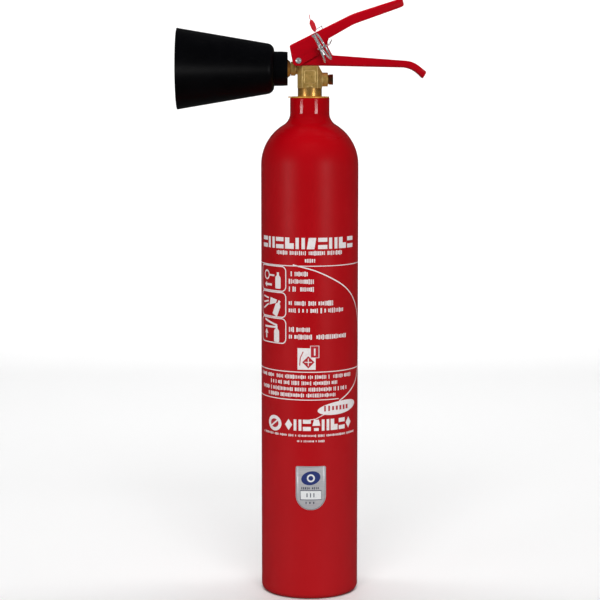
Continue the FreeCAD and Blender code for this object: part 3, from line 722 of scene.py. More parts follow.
def softened_copy(
    node: str,
    name: str,
    finish: Finish,
    width: float,
    segments: int = 3,
    angle: float = 28.0,
    edge_highlight: Optional[Finish] = None,
    clamp: bool = True,
) -> Obj:
    """A copy of a CAD node with its sharp edges rounded.

    Args:
        node: The CAD node.
        name: The new piece's name.
        finish: Its surface.
        width: Radius of the rounding.
        segments: Faces across each rounding.
        angle: Edges sharper than this are rounded.
        edge_highlight: Surface of the rounded edges, where it differs; the valve gives them a brighter
            brass as a painted highlight.
        clamp: Whether short edges hold the rounding back everywhere.

    Returns:
        The new piece.
    """
    work = bmesh.new()
    work.from_mesh(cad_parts[node].data)
    bmesh.ops.remove_doubles(work, verts=work.verts, dist=2e-6)
    bmesh.ops.dissolve_degenerate(work, edges=work.edges, dist=1e-6)
    bmesh.ops.dissolve_limit(
        work, angle_limit=math.radians(0.6), verts=work.verts, edges=work.edges, delimit={"NORMAL"}
    )
    limit = math.radians(angle)
    sharp = [e for e in work.edges if len(e.link_faces) == 2 and e.calc_face_angle(0.0) > limit]
    bevel = bmesh.ops.bevel(
        work, geom=sharp, offset=width, segments=segments, profile=0.5, affect="EDGES", clamp_overlap=clamp
    )
    # The rounded faces take the second material; on the valve this is a painted highlight.
    for face in bevel["faces"] if edge_highlight else ():
        face.material_index = 1
    bmesh.ops.recalc_face_normals(work, faces=work.faces)
    mesh = bpy.data.meshes.new(name)
    work.to_mesh(mesh)
    work.free()
    for surface in filter(None, (finish, edge_highlight)):
        mesh.materials.append(surface.material())
    piece = placed(name, mesh)
    smooth(piece, 40.0)
    return piece


def moulded_plate(
    corners: Sequence[Sequence[float]], half: float, lay: Matrix, finish: Finish
) -> Obj:
    """A small flat moulding with softened edges.

    Args:
        corners: Its outline (across, along, corner radius) in millimetres.
        half: Half its thickness in millimetres.
        lay: Where it lies; its outline is in the matrix's XZ plane.
        finish: Its surface.

    Returns:
        The piece.
    """
    outline = rounded(corners, steps=5, closed=True)
    count = len(outline)
    verts = [lay @ (Vector((x, side * half, z)) * MM) for side in (-1, 1) for x, z in outline]
    sides = [(k, (k + 1) % count, count + (k + 1) % count, count + k) for k in range(count)]
    ends = [range(count), range(2 * count - 1, count - 1, -1)]
    piece = mesh_piece("plate", verts, [*ends, *sides], finish)
    outward(piece)
    edges = piece.modifiers.new("edges", "BEVEL")
    edges.width, edges.segments, edges.limit_method = 0.25 * MM, 2, "ANGLE"
    bake(piece)
    smooth(piece, 40.0)
    return piece


def bake(piece: Obj) -> None:
    """Turn a piece's live modifiers into plain mesh.

    Args:
        piece: The piece, changed in place.
    """
    mesh = evaluated(piece)
    piece.modifiers.clear()
    piece.data = mesh


def joined(name: str, pieces: Sequence[Obj]) -> Obj:
    """Join meshes into one piece.

    Args:
        name: The joined piece's name.
        pieces: Objects to join; they are used up.

    Returns:
        The joined piece.
    """
    work = bmesh.new()
    mesh = bpy.data.meshes.new(name)
    for piece in pieces:
        shift = len(mesh.materials)
        for material in piece.data.materials:
            mesh.materials.append(material)
        start = len(work.faces)
        work.from_mesh(piece.data)
        work.faces.ensure_lookup_table()
        for face in work.faces[start:]:
            face.material_index += shift
    work.to_mesh(mesh)
    work.free()
    for piece in pieces:
        bpy.data.objects.remove(piece)
    return placed(name, mesh)


# ---------------------------------------------------------------------------------------- geometry nodes


class Tree:
    """A geometry node tree with named inputs, and the means to run it once."""

    def __init__(self, name: str, inputs: dict[str, tuple[str, object]]) -> None:
        """Make the tree's interface.

        Args:
            name: The tree's name.
            inputs: Input name to its socket type and default.
        """
        self.group = bpy.data.node_groups.new(name, "GeometryNodeTree")
        face = self.group.interface
        face.new_socket("Geometry", in_out="INPUT", socket_type="NodeSocketGeometry")
        self.identifiers: dict[str, str] = {}
        for label, (kind, default) in inputs.items():
            socket = face.new_socket(label, in_out="INPUT", socket_type=kind)
            if default is not None:
                socket.default_value = default
            self.identifiers[label] = socket.identifier
        face.new_socket("Geometry", in_out="OUTPUT", socket_type="NodeSocketGeometry")
        self.source = self.group.nodes.new("NodeGroupInput")
        self.sink = self.group.nodes.new("NodeGroupOutput")

    def add(
        self, kind: str, links: Optional[dict[str, object]] = None, **settings: object
    ) -> bpy.types.Node:
        """Add a node.

        Args:
            kind: The node's type.
            links: Input name or index to a socket or a plain value.
            settings: Properties of the node.

        Returns:
            The new node.
        """
        made = self.group.nodes.new(kind)
        for name, value in settings.items():
            setattr(made, name, value)
        for key, value in (links or {}).items():
            socket = made.inputs[key]
            if isinstance(value, Socket):
                self.group.links.new(value, socket)
            else:
                socket.default_value = value
        return made

    def math(self, operation: str, first: object, second: object = 0.0) -> Socket:
        """The result of one scalar operation."""
        return self.add("ShaderNodeMath", {0: first, 1: second}, operation=operation).outputs[0]

    def vector(self, x: object = 0.0, y: object = 0.0, z: object = 0.0) -> Socket:
        """A vector of three values."""
        return self.add("ShaderNodeCombineXYZ", {0: x, 1: y, 2: z}).outputs[0]

    def raised(self, geometry: Socket, height: object) -> Socket:
        """The geometry moved up +Z."""
        move = {"Geometry": geometry, "Translation": self.vector(z=height)}
        return self.add("GeometryNodeTransform", move).outputs[0]

    def sweep(self, line: Socket, radius: Socket, sides: object) -> Socket:
        """Sweep a round section along a curve.

        Args:
            line: The curve.
            radius: The section's radius.
            sides: Faces round the section.

        Returns:
            A closed tube, shaded smooth.
        """
        ring = self.add("GeometryNodeCurvePrimitiveCircle", {"Resolution": sides, "Radius": radius})
        joints = {"Curve": line, "Profile Curve": ring.outputs[0], "Fill Caps": True}
        swept = self.add("GeometryNodeCurveToMesh", joints)
        return self.add("GeometryNodeSetShadeSmooth", {"Geometry": swept.outputs[0]}).outputs[0]

    def finish(self, geometry: Socket) -> None:
        """End the tree in Realize Instances and Set Material.

        Args:
            geometry: The geometry to give out.
        """
        real = self.add("GeometryNodeRealizeInstances", {"Geometry": geometry})
        painted = self.add(
            "GeometryNodeSetMaterial",
            {"Geometry": real.outputs[0], "Material": self.source.outputs["Material"]},
        )
        self.group.links.new(painted.outputs[0], self.sink.inputs[0])

    def run(
        self, name: str, finish: Finish, base: Optional[Obj] = None, **values: object
    ) -> Obj:
        """Evaluate the tree once into a plain mesh piece.

        Args:
            name: The piece's name.
            finish: Its surface.
            base: An object whose geometry goes in; used up.
            values: Inputs by name, with underscores for spaces.

        Returns:
            The plain mesh object.
        """
        carrier = base or placed(name + "_carrier", bpy.data.meshes.new(name + "_carrier"))
        modifier = carrier.modifiers.new("nodes", "NODES")
        modifier.node_group = self.group
        modifier[self.identifiers["Material"]] = finish.material()
        for label, value in values.items():
            modifier[self.identifiers[label.replace("_", " ")]] = value
        mesh = evaluated(carrier)
        carrier.modifiers.remove(modifier)
        bpy.data.objects.remove(carrier)
        mesh.name = name
        return placed(name, mesh)


def wrap_sockets(tree: Tree, radius: Socket) -> Socket:
    """Sockets that bend flat (x, y) onto a cylinder of a given radius, x round it and y up it.

    Args:
        tree: The tree to add to.
        radius: The cylinder's radius.

    Returns:
        The bent position.
    """
    split = tree.add("ShaderNodeSeparateXYZ", {0: tree.add("GeometryNodeInputPosition").outputs[0]})
    angle = tree.math("DIVIDE", split.outputs["X"], radius)
    side = tree.math("MULTIPLY", tree.math("SINE", angle), radius)
    front = tree.math("MULTIPLY", tree.math("COSINE", angle), tree.math("MULTIPLY", radius, -1.0))
    return tree.vector(side, front, split.outputs["Y"])


NARROWEST = 0.55  # least width of a block of small print, as a share of the widest
LOWEST = 0.62  # least height of a block, as a share of the row's


def build_row_tree() -> Tree:
    """A row of small blocks of uneven width, with gaps, bent onto a cylinder: print too small to read.

    Returns:
        The tree.
    """
    tree = Tree(
        "print_row",
        {
            "Start": ("NodeSocketFloat", 0.0),
            "Level": ("NodeSocketFloat", 0.0),
            "Length": ("NodeSocketFloat", 0.03),
            "Height": ("NodeSocketFloat", 0.003),
            "Pitch": ("NodeSocketFloat", 0.002),
            "Gap Share": ("NodeSocketFloat", 0.15),
            "Fill": ("NodeSocketFloat", 0.72),
            "Radius": ("NodeSocketFloat", 0.05),
            "Seed": ("NodeSocketInt", 1),
            "Material": ("NodeSocketMaterial", None),
        },
    )
    source = tree.source.outputs
    count = tree.math("ADD", tree.math("DIVIDE", source["Length"], source["Pitch"]), 1.0)
    start = tree.vector(source["Start"], source["Level"])
    offset = tree.vector(source["Pitch"])
    line = tree.add(
        "GeometryNodeMeshLine", {"Count": count, "Start Location": start, "Offset": offset}
    )
    gap = tree.add(
        "FunctionNodeRandomValue",
        {"Probability": source["Gap Share"], "Seed": source["Seed"]},
        data_type="BOOLEAN",
    )
    kept = tree.add(
        "GeometryNodeDeleteGeometry",
        {"Geometry": line.outputs[0], "Selection": gap.outputs[3]},
        domain="POINT",
    )
    glyph = tree.add(
        "GeometryNodeMeshGrid", {"Size X": 1.0, "Size Y": 1.0, "Vertices X": 2, "Vertices Y": 2}
    )
    widest = tree.math("MULTIPLY", source["Pitch"], source["Fill"])
    narrowest = tree.math("MULTIPLY", widest, NARROWEST)
    lowest = tree.math("MULTIPLY", source["Height"], LOWEST)
    size = tree.add(
        "FunctionNodeRandomValue",
        {
            0: tree.vector(narrowest, lowest, 1.0),
            1: tree.vector(widest, source["Height"], 1.0),
            "Seed": tree.math("ADD", source["Seed"], 7.0),
        },
        data_type="FLOAT_VECTOR",
    )
    blocks = tree.add(
        "GeometryNodeInstanceOnPoints",
        {"Points": kept.outputs[0], "Instance": glyph.outputs[0], "Scale": size.outputs[0]},
    )
    real = tree.add("GeometryNodeRealizeInstances", {"Geometry": blocks.outputs[0]})
    position = wrap_sockets(tree, source["Radius"])
    bent = tree.add("GeometryNodeSetPosition", {"Geometry": real.outputs[0], "Position": position})
    tree.finish(bent.outputs[0])
    return tree


def build_tube_tree() -> Tree:
    """A round tube swept along the curve that goes in.

    Returns:
        The tree.
    """
    tree = Tree(
        "swept_tube",
        {
            "Tube Radius": ("NodeSocketFloat", 0.001),
            "Sides": ("NodeSocketInt", 16),
            "Material": ("NodeSocketMaterial", None),
        },
    )
    source = tree.source.outputs
    tree.finish(tree.sweep(source["Geometry"], source["Tube Radius"], source["Sides"]))
    return tree


def build_coil_tree() -> Tree:
    """A wound spring of round wire standing on +Z.

    Returns:
        The tree.
    """
    tree = Tree(
        "wound_coil",
        {
            "Coil Radius": ("NodeSocketFloat", 0.005),
            "Turns": ("NodeSocketFloat", 6.0),
            "Rise": ("NodeSocketFloat", 0.02),
            "Base": ("NodeSocketFloat", 0.0),
            "Wire Radius": ("NodeSocketFloat", 0.0007),
            "Material": ("NodeSocketMaterial", None),
        },
    )
    source = tree.source.outputs
    spiral = tree.add(
        "GeometryNodeCurveSpiral",
        {
            "Resolution": 32,
            "Rotations": source["Turns"],
            "Start Radius": source["Coil Radius"],
            "End Radius": source["Coil Radius"],
            "Height": source["Rise"],
        },
    )
    swept = tree.sweep(spiral.outputs[0], source["Wire Radius"], 14)
    tree.finish(tree.raised(swept, source["Base"]))
    return tree


def build_stamp_tree() -> Tree:
    """Small punched marks round a thin ring, each a shallow raised dome.

    Returns:
        The tree.
    """
    tree = Tree(
        "punched_marks",
        {
            "Count": ("NodeSocketInt", 12),
            "Circle Radius": ("NodeSocketFloat", 0.016),
            "Level": ("NodeSocketFloat", 0.5),
            "Mark": ("NodeSocketFloat", 0.001),
            "Material": ("NodeSocketMaterial", None),
        },
    )
    source = tree.source.outputs
    circle = tree.add(
        "GeometryNodeMeshCircle", {"Vertices": source["Count"], "Radius": source["Circle Radius"]}
    )
    shape = tree.add(
        "GeometryNodeMeshUVSphere", {"Segments": 12, "Rings": 6, "Radius": source["Mark"]}
    )
    flat = tree.add(
        "GeometryNodeTransform", {"Geometry": shape.outputs[0], "Scale": (1.0, 1.0, 0.25)}
    )
    marks = tree.add(
        "GeometryNodeInstanceOnPoints", {"Points": circle.outputs[0], "Instance": flat.outputs[0]}
    )
    tree.finish(tree.raised(marks.outputs[0], source["Level"]))
    return tree


ROW_TREE = build_row_tree()
TUBE_TREE = build_tube_tree()
COIL_TREE = build_coil_tree()
STAMP_TREE = build_stamp_tree()


def tube(
    name: str,
    points: Sequence[Vector],
    radius: float,
    finish: Finish,
    closed: bool = False,
    sides: int = 16,
) -> Obj:
    """A round wire or tube through points.

    Args:
        name: The piece's name.
        points: Points of its centreline.
        radius: The wire's radius.
        finish: Its surface.
        closed: Whether the line joins up.
        sides: Faces round the wire.

    Returns:
        The plain mesh piece.
    """
    curve = bpy.data.curves.new(name + "_line", "CURVE")
    curve.dimensions = "3D"
    spline = curve.splines.new("POLY")
    spline.points.add(len(points) - 1)
    for slot, point in zip(spline.points, points):
        slot.co = (*point, 1.0)
    spline.use_cyclic_u = closed
    line = placed(name + "_line", curve)
    return TUBE_TREE.run(name, finish, base=line, Tube_Radius=radius, Sides=sides)


def flowing(points: Sequence[Vector], steps: int = 12) -> list[Vector]:
    """A smooth line through given points, by Catmull-Rom.

    Args:
        points: The points to pass through.
        steps: Samples between one point and the next.

    Returns:
        The sampled line.
    """
    ends = [points[0] * 2 - points[1], *points, points[-1] * 2 - points[-2]]
    line: list[Vector] = []
    for before, start, end, after in zip(ends, ends[1:], ends[2:], ends[3:]):
        for step in range(steps):
            t = step / steps
            linear = (end - before) * t
            square = (2 * before - 5 * start + 4 * end - after) * t**2
            cube = (3 * start - before - 3 * end + after) * t**3
            line.append(0.5 * (2 * start + linear + square + cube))
    line.append(points[-1].copy())
    return line


# ---------------------------------------------------------------------------------------- sub-assemblies


@dataclass
class Vessel:
    """The one-piece cylinder and the service ring on its neck."""

    wall: float = 5.0 * MM
    base_round: float = 6.0 * MM
    dome_round: float = 48.8 * MM
    neck_round: float = 14.0 * MM
    neck_radius: float = 20.6 * MM
    neck_foot: float = 499.0 * MM
    shoulder: float = 480.6 * MM
    bore: float = 11.45 * MM
    bore_end_radius: float = 9.95 * MM
    bore_end: float = 498.0 * MM
    throat_radius: float = 12.9 * MM
    throat: float = 496.5 * MM
    hollow_radius: float = 28.0 * MM
    hollow_height: float = 6.0 * MM
    foot_inner: float = 36.0 * MM
    floor_height: float = 12.0 * MM
    marks: int = 14
    marks_circle: float = 17.4 * MM
    mark: float = 0.8 * MM

    def build(self) -> None:
        """Turn the shell and dress the ring."""
        low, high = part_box("cylinder")
        radius, top = high.x, high.z
        inner = radius - self.wall
        corners = [
            (0.0, self.hollow_height),
            (self.hollow_radius, self.hollow_height, 12 * MM),
            (self.foot_inner, 0.0, 3 * MM),
            (radius, 0.0, self.base_round),
            (radius, self.shoulder, self.dome_round),
            (self.neck_radius, self.neck_foot, self.neck_round),
            (self.neck_radius, top, 1.0 * MM),
            (self.bore, top),
            (self.bore_end_radius, self.bore_end),
            (self.throat_radius, self.throat),
            (inner, self.shoulder - 2.8 * MM, self.dome_round - self.wall),
            (inner, self.floor_height, 20 * MM),
            (0.0, self.floor_height),
        ]
        outline = rounded(corners, steps=20)
        shell = lathe("cylinder_shell", outline, Axis.Z, Vector(), SHELL_RED, segments=192)
        dress(shell, Body.VESSEL, SHELL_RED, "cylinder")
        ring = softened_copy("service_ring", "service_ring_sheet", GOLD_SHEET, 0.25 * MM, 2)
        dress(ring, Body.VESSEL, GOLD_SHEET, "service_ring")
        ring_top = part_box("service_ring")[1].z
        marks = STAMP_TREE.run(
            "service_ring_marks",
            GOLD_SHEET,
            Count=self.marks,
            Circle_Radius=self.marks_circle,
            Level=ring_top,
            Mark=self.mark,
        )
        dress(marks, Body.VESSEL, GOLD_SHEET)


TITLE_MARKS = tuple(Mark[kind] for kind in "BARS POSTS BARS STEP POSTS SLAB BARS POSTS STEP BARS".split())
MAKER_MARKS = tuple(Mark[kind] for kind in "GEM POSTS BARS CAP POSTS STEP BARS GEM".split())


@dataclass(frozen=True)
class Panel:
    """A plain picture about its own middle, in millimetres: a bottle, lines and filled shapes."""

    bottle: tuple[float, float, float]
    strokes: tuple[tuple[float, Sequence[Point2]], ...]
    fills: tuple[Sequence[Point2], ...]


PULL_RING = [
    (4.4 * math.cos(k * math.pi / 12) - 8, 4.4 * math.sin(k * math.pi / 12) + 3) for k in range(25)
]
PANELS = (
    Panel(
        bottle=(10, -1.5, 0.0),
        strokes=((1.6, PULL_RING), (1.8, [(-3.6, 3), (5, 3)]), (2.2, [(-8, -7), (1, -7)])),
        fills=([(-8, -10), (-8, -4), (-12.5, -7)],),
    ),
    Panel(
        bottle=(9, -3, -24.0),
        strokes=tuple((1.6, [(-4.5, 3 + k * 3), (-15, 1 + k * 6.5)]) for k in (-1, 0, 1)),
        fills=([(9, 5), (7, 1.6), (-3, -1), (-1, 7)],),
    ),
    Panel(
        bottle=(8, -3, 0.0),
        strokes=(
            (2.0, [(9, 5.5), (-4, 8.5), (-12, 10.5)]),
            (2.0, [(7, 3.6), (-12, 3.0)]),
            (2.2, [(-9, -9), (-9, -3.5)]),
        ),
        fills=([(-12.4, -4), (-5.6, -4), (-9, 0.8)],),
    ),
)


@dataclass
class FrontPrint:
    """Ink on the front of the cylinder: bands, rules, small rows and plain picture panels.

    Positions are (round, up) on the developed surface, in millimetres from the front centre line.
    """

    lift: float = 0.05 * MM
    ink: float = 0.04 * MM
    panel_middle: float = -46.0
    panel_wide: float = 40.0
    panel_tall: float = 25.8
    panel_low: float = 324.4
    panel_pitch: float = 27.2
    radius: float = field(init=False)
    parts: dict[Finish, list[Obj]] = field(default_factory=dict)

    def __post_init__(self) -> None:
        """Read the cylinder's radius from the frame."""
        self.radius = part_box("cylinder")[1].x

    def surface(self, round_mm: float, up_mm: float, lift: float) -> Vector:
        """A point of the developed surface, on the cylinder.

        Args:
            round_mm: Distance round from the front centre line.
            up_mm: Height.
            lift: Height above the enamel.

        Returns:
            The point in the frame.
        """
        angle = round_mm * MM / self.radius
        reach = self.radius + lift
        return Vector((reach * math.sin(angle), -reach * math.cos(angle), up_mm * MM))

    def polygon(self, outline: Sequence[Point2], finish: Finish = WHITE_INK, level: int = 1) -> None:
        """Lay a filled shape on the surface.

        Args:
            outline: Its corners.
            finish: The ink.
            level: How many layers of ink up it lies.
        """
        work = bmesh.new()
        face = work.faces.new([work.verts.new((x, y, 0.0)) for x, y in outline])
        bmesh.ops.triangulate(work, faces=[face])
        low, high = min(p[0] for p in outline), max(p[0] for p in outline)
        strip = 2.0
        for k in range(math.floor(low / strip) + 1, math.ceil(high / strip)):
            geometry = [*work.verts, *work.edges, *work.faces]
            bmesh.ops.bisect_plane(work, geom=geometry, plane_co=(k * strip, 0, 0), plane_no=(1, 0, 0))
        for vert in work.verts:
            vert.co = self.surface(vert.co.x, vert.co.y, self.lift * level)
        bmesh.ops.recalc_face_normals(work, faces=work.faces)
        first = next(iter(work.faces))
        centre = first.calc_center_median()
        if first.normal.dot(Vector((centre.x, centre.y, 0.0))) < 0:
            bmesh.ops.reverse_faces(work, faces=work.faces)
        mesh = bpy.data.meshes.new("ink")
        work.to_mesh(mesh)
        work.free()
        mesh.materials.append(finish.material())
        self.add(bpy.data.objects.new("ink", mesh), finish)

    def lay_down(self, prefix: str) -> None:
        """Join each ink's shapes and give the layer its thickness.

        Args:
            prefix: Start of each piece's name.
        """
        for finish, pieces in self.parts.items():
            layer = joined(f"{prefix}_{finish.name}", pieces)
            thick = layer.modifiers.new("thickness", "SOLIDIFY")
            thick.thickness, thick.offset = self.ink, -1.0
            bake(layer)
            dress(layer, Body.VESSEL, finish)

    def add(self, piece: Obj, finish: Finish) -> None:
        """Keep a part until its ink is joined up."""
        self.parts.setdefault(finish, []).append(piece)

    def stroke(
        self, points: Sequence[Point2], width: float, finish: Finish = WHITE_INK, level: int = 1
    ) -> None:
        """Lay a line of even width.

        Args:
            points: Its centreline.
            width: Its width in millimetres.
            finish: The ink.
            level: How many layers of ink up it lies.
        """
        line = [Vector(p) for p in points]
        left: list[Point2] = []
        right: list[Point2] = []
        for index, point in enumerate(line):
            back = line[max(index - 1, 0)]
            ahead = line[min(index + 1, len(line) - 1)]
            side = (ahead - back).orthogonal().normalized() * (width / 2)
            left.append(tuple(point + side))
            right.append(tuple(point - side))
        for a, b, c, d in zip(left, left[1:], right[1:], right):
            self.polygon([a, b, c, d], finish, level)

    def frame(
        self, left: float, low: float, right: float, high: float, corner: float, width: float
    ) -> None:
        """Lay an open rounded frame.

        Args:
            left: Left edge.
            low: Lower edge.
            right: Right edge.
            high: Upper edge.
            corner: Corner radius.
            width: Line width.
        """
        corners = [(left, low, corner), (right, low, corner), (right, high, corner), (left, high, corner)]
        outline = rounded(corners, steps=5, closed=True)
        self.stroke([*outline, outline[0]], width)

    def row(
        self,
        start: float,
        end: float,
        level: float,
        height: float,
        pitch: float,
        seed: int,
        finish: Finish = WHITE_INK,
        fill: float = 0.74,
        gaps: float = 0.14,
    ) -> None:
        """Lay a row of small blocks.

        Args:
            start: Its left end.
            end: Its right end.
            level: Height of its middle.
            height: Height of the blocks.
            pitch: Distance from one block to the next.
            seed: Fixes the widths and the gaps.
            finish: The ink.
            fill: Share of the pitch that the widest block covers.
            gaps: Share of blocks left out.
        """
        piece = ROW_TREE.run(
            "row",
            finish,
            Start=start * MM,
            Level=level * MM,
            Length=(end - start) * MM,
            Height=height * MM,
            Pitch=pitch * MM,
            Gap_Share=gaps,
            Fill=fill,
            Radius=self.radius + self.lift * 2,
            Seed=seed,
        )
        self.add(piece, finish)

    def disc(
        self,
        x: float,
        y: float,
        across: float,
        tall: float,
        finish: Finish = WHITE_INK,
        level: int = 1,
        lean: float = 0.0,
    ) -> None:
        """Lay a filled oval.

        Args:
            x: Its centre round the cylinder.
            y: Its centre up the cylinder.
            across: Half its width.
            tall: Half its height.
            finish: The ink.
            level: How many layers of ink up it lies.
            lean: Its turn in degrees.
        """
        turn = Matrix.Rotation(math.radians(lean), 2)
        ring = []
        for k in range(40):
            angle = math.tau * k / 40
            point = turn @ Vector((across * math.cos(angle), tall * math.sin(angle)))
            ring.append((x + point.x, y + point.y))
        self.polygon(ring, finish, level)

    def marks(self, start: float, end: float, low: float, high: float, kinds: Sequence[Mark]) -> None:
        """Lay a bold band of plain shapes where a title would stand.

        Args:
            start: Its left end.
            end: Its right end.
            low: Its foot.
            high: Its top.
            kinds: The shape of each mark in turn.
        """
        pitch = (end - start) / len(kinds)
        wide, tall = pitch * 0.84, high - low
        for k, kind in enumerate(kinds):
            left = start + k * pitch
            for shape in kind.value:
                self.polygon([(left + x * wide, low + y * tall) for x, y in shape])

    def bottle(self, x: float, y: float, lean: float) -> None:
        """Lay a small filled bottle shape.

        Args:
            x: Its middle round the cylinder.
            y: Its middle up the cylinder.
            lean: Its turn in degrees.
        """
        corners = [(-3.6, -9, 1.2), (3.6, -9, 1.2), (3.6, 3, 3.0), (1.4, 5, 0.6), (1.4, 8)]
        corners += [(-1.4, 8), (-1.4, 5, 0.6), (-3.6, 3, 3.0)]
        outline = rounded(corners, steps=4, closed=True)
        turn = Matrix.Rotation(math.radians(lean), 2)
        self.polygon([tuple(turn @ Vector(p) + Vector((x, y))) for p in outline])

    def panel(self, low: float, picture: Panel) -> None:
        """Lay one picture in its rounded frame.

        Args:
            low: Height of the frame's lower edge.
            picture: What it shows.
        """
        x, y = self.panel_middle, low + self.panel_tall / 2
        left, right = x - self.panel_wide / 2, x + self.panel_wide / 2
        self.frame(left, low, right, low + self.panel_tall, 5.0, 1.1)
        across, up, lean = picture.bottle
        self.bottle(x + across, y + up, lean)
        for width, line in picture.strokes:
            self.stroke([(x + across, y + up) for across, up in line], width)
        for outline in picture.fills:
            self.polygon([(x + across, y + up) for across, up in outline])

    def class_mark(self) -> None:
        """White panel with a small framed square, a diamond and a plain mark."""
        self.polygon([(-12.9, 243.8), (6.0, 243.8), (6.0, 266.2), (-12.9, 266.2)])
        square = [(0.6, 256.2), (9.4, 256.2), (9.4, 268.6), (0.6, 268.6)]
        self.polygon(square, RED_INK, 2)
        self.stroke([*square, square[0]], 0.8, WHITE_INK, 3)
        self.stroke([(5.0, 258.6), (5.0, 266.0)], 1.6, WHITE_INK, 3)
        self.polygon([(-1.6, 245.2), (4.8, 251.6), (-1.6, 258.0), (-8.0, 251.6)], RED_INK, 2)
        self.stroke([(-1.6, 247.6), (-1.6, 255.6)], 0.9, WHITE_INK, 3)
        self.stroke([(-5.4, 251.6), (2.2, 251.6)], 0.9, WHITE_INK, 3)
        self.stroke([(-10.6, 248.0), (-10.0, 256.0), (-7.0, 262.5)], 1.0, RED_INK, 2)

    def sweep(self) -> None:
        """The long thin arc that runs round the right of the text, and the three level rules."""
        arc = [(-18, 352.6), (4, 347.0), (23.6, 338.2), (42.2, 327.2), (57, 313.4), (69, 295)]
        arc += [(75.5, 274), (75.5, 256), (70.7, 240), (61.6, 227), (47.8, 217.2), (33.0, 209.6)]
        line = flowing([Vector((x, y, 0.0)) for x, y in arc], 6)
        self.stroke([(p.x, p.y) for p in line], 1.2)
        for level, end in ((351.4, 76), (241.2, 72), (212.0, 34)):
            self.stroke([(x, level) for x in range(-76, end + 1, 4)], 0.9)

    def small_rows(self) -> None:
        """All the rows of small print."""
        self.row(-36.8, 37.7, 364.8, 4.8, 2.0, 3, fill=0.8)
        self.row(-4.4, 5.0, 357.0, 4.4, 2.3, 5, gaps=0.0)
        panel_rows = [(-2.8, 343.2), (5.0, 335.4), (7.2, 327.4), (25.3, 312.8), (39.2, 305.2)]
        panel_rows += [(-0.6, 285.4), (43.8, 277.8)]
        for seed, (end, level) in enumerate(panel_rows, start=11):
            self.row(-21.8, end, level, 5.4, 2.1, seed, fill=0.84, gaps=0.12)
        notice_rows = [(-66, 52, 236.0), (-46, 30, 229.6), (-62, 44, 223.0), (-50, 30, 216.8)]
        for seed, (start, end, level) in enumerate(notice_rows, start=31):
            self.row(start, end, level, 4.4, 1.8, seed, fill=0.82)
        self.row(-60, 58, 174.4, 2.6, 1.5, 41)
        self.row(-13, 15, 168.6, 2.4, 1.4, 42)

    def build(self) -> None:
        """Lay all the ink, then join it into one piece for each ink."""
        self.marks(-62.0, 55.4, 369.0, 380.6, TITLE_MARKS)
        self.small_rows()
        self.sweep()
        for k, picture in enumerate(PANELS):
            self.panel(self.panel_low - self.panel_pitch * k, picture)
        self.class_mark()
        self.disc(33.5, 202.6, 25.5, 6.8, WHITE_INK, 1, 5.0)
        self.stroke([(-6, 190.5), (6, 192.0), (16, 197.0)], 0.8)
        self.disc(-41.0, 185.4, 9.5, 8.2, WHITE_INK, 1)
        self.disc(-41.0, 185.4, 5.6, 4.6, RED_INK, 2)
        self.stroke([(-47, 181), (-35, 190)], 1.6, WHITE_INK, 3)
        self.marks(-27.0, 52.0, 179.6, 191.4, MAKER_MARKS)
        self.row(16.0, 48.0, 202.6, 6.4, 4.6, 51, RED_INK, fill=0.7, gaps=0.0)
        self.lay_down("front_print")


@dataclass
class ShieldSticker:
    """The silver film on the cylinder's front, with its own small print."""

    film: float = 0.2 * MM

    def build(self) -> None:
        """Dress the film and lay its print."""
        low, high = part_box("shield_sticker")
        film = softened_copy("shield_sticker", "shield_film", SILVER_FILM, 0.05 * MM, 1, 50.0)
        dress(film, Body.VESSEL, SILVER_FILM, "shield_sticker")
        base, top = low.z / MM, high.z / MM
        middle = (low.x + high.x) / 2 / MM
        tall = top - base
        ink = FrontPrint(lift=0.05 * MM)
        ink.radius += self.film
        emblem = top - tall * 0.27
        ink.disc(middle, emblem, 10.2, 7.2, BLUE_INK, 1, 14.0)
        ink.disc(middle, emblem, 4.2, 4.2, PALE_INK, 2)
        ink.disc(middle, emblem, 2.5, 2.5, BLUE_INK, 3)
        box = tall * 0.21
        centre = base + tall * 0.34
        half = 11.0
        signs = ((-1, -1), (1, -1), (1, 1), (-1, 1))
        date_box = [(middle + x * half, centre + y * box / 2) for x, y in signs]
        ink.polygon(date_box, PALE_INK)
        ink.stroke([*date_box, date_box[0]], 0.8, GREY_INK, 2)
        ink.row(middle - 4.0, middle + 4.5, centre, 5.0, 3.6, 62, GREY_INK, 0.5, 0.0)
        ink.row(middle - 9.5, middle + 9.5, base + tall * 0.5, 3.0, 1.9, 63, GREY_INK, 0.8)
        ink.row(middle - 5.0, middle + 5.0, base + tall * 0.165, 3.0, 2.0, 64, GREY_INK, 0.8)
        edge = 0.7
        half_width = (high.x - low.x) / 2 / MM - edge
        rim = rounded(
            [
                (middle - half_width, top - edge),
                (middle - half_width, base + edge, half_width * 0.96),
                (middle + half_width, base + edge, half_width * 0.96),
                (middle + half_width, top - edge),
                (middle - half_width, top - edge),
            ],
            steps=14,
        )
        ink.stroke(rim, 0.35, GREY_INK)
        ink.lay_down("shield_print")


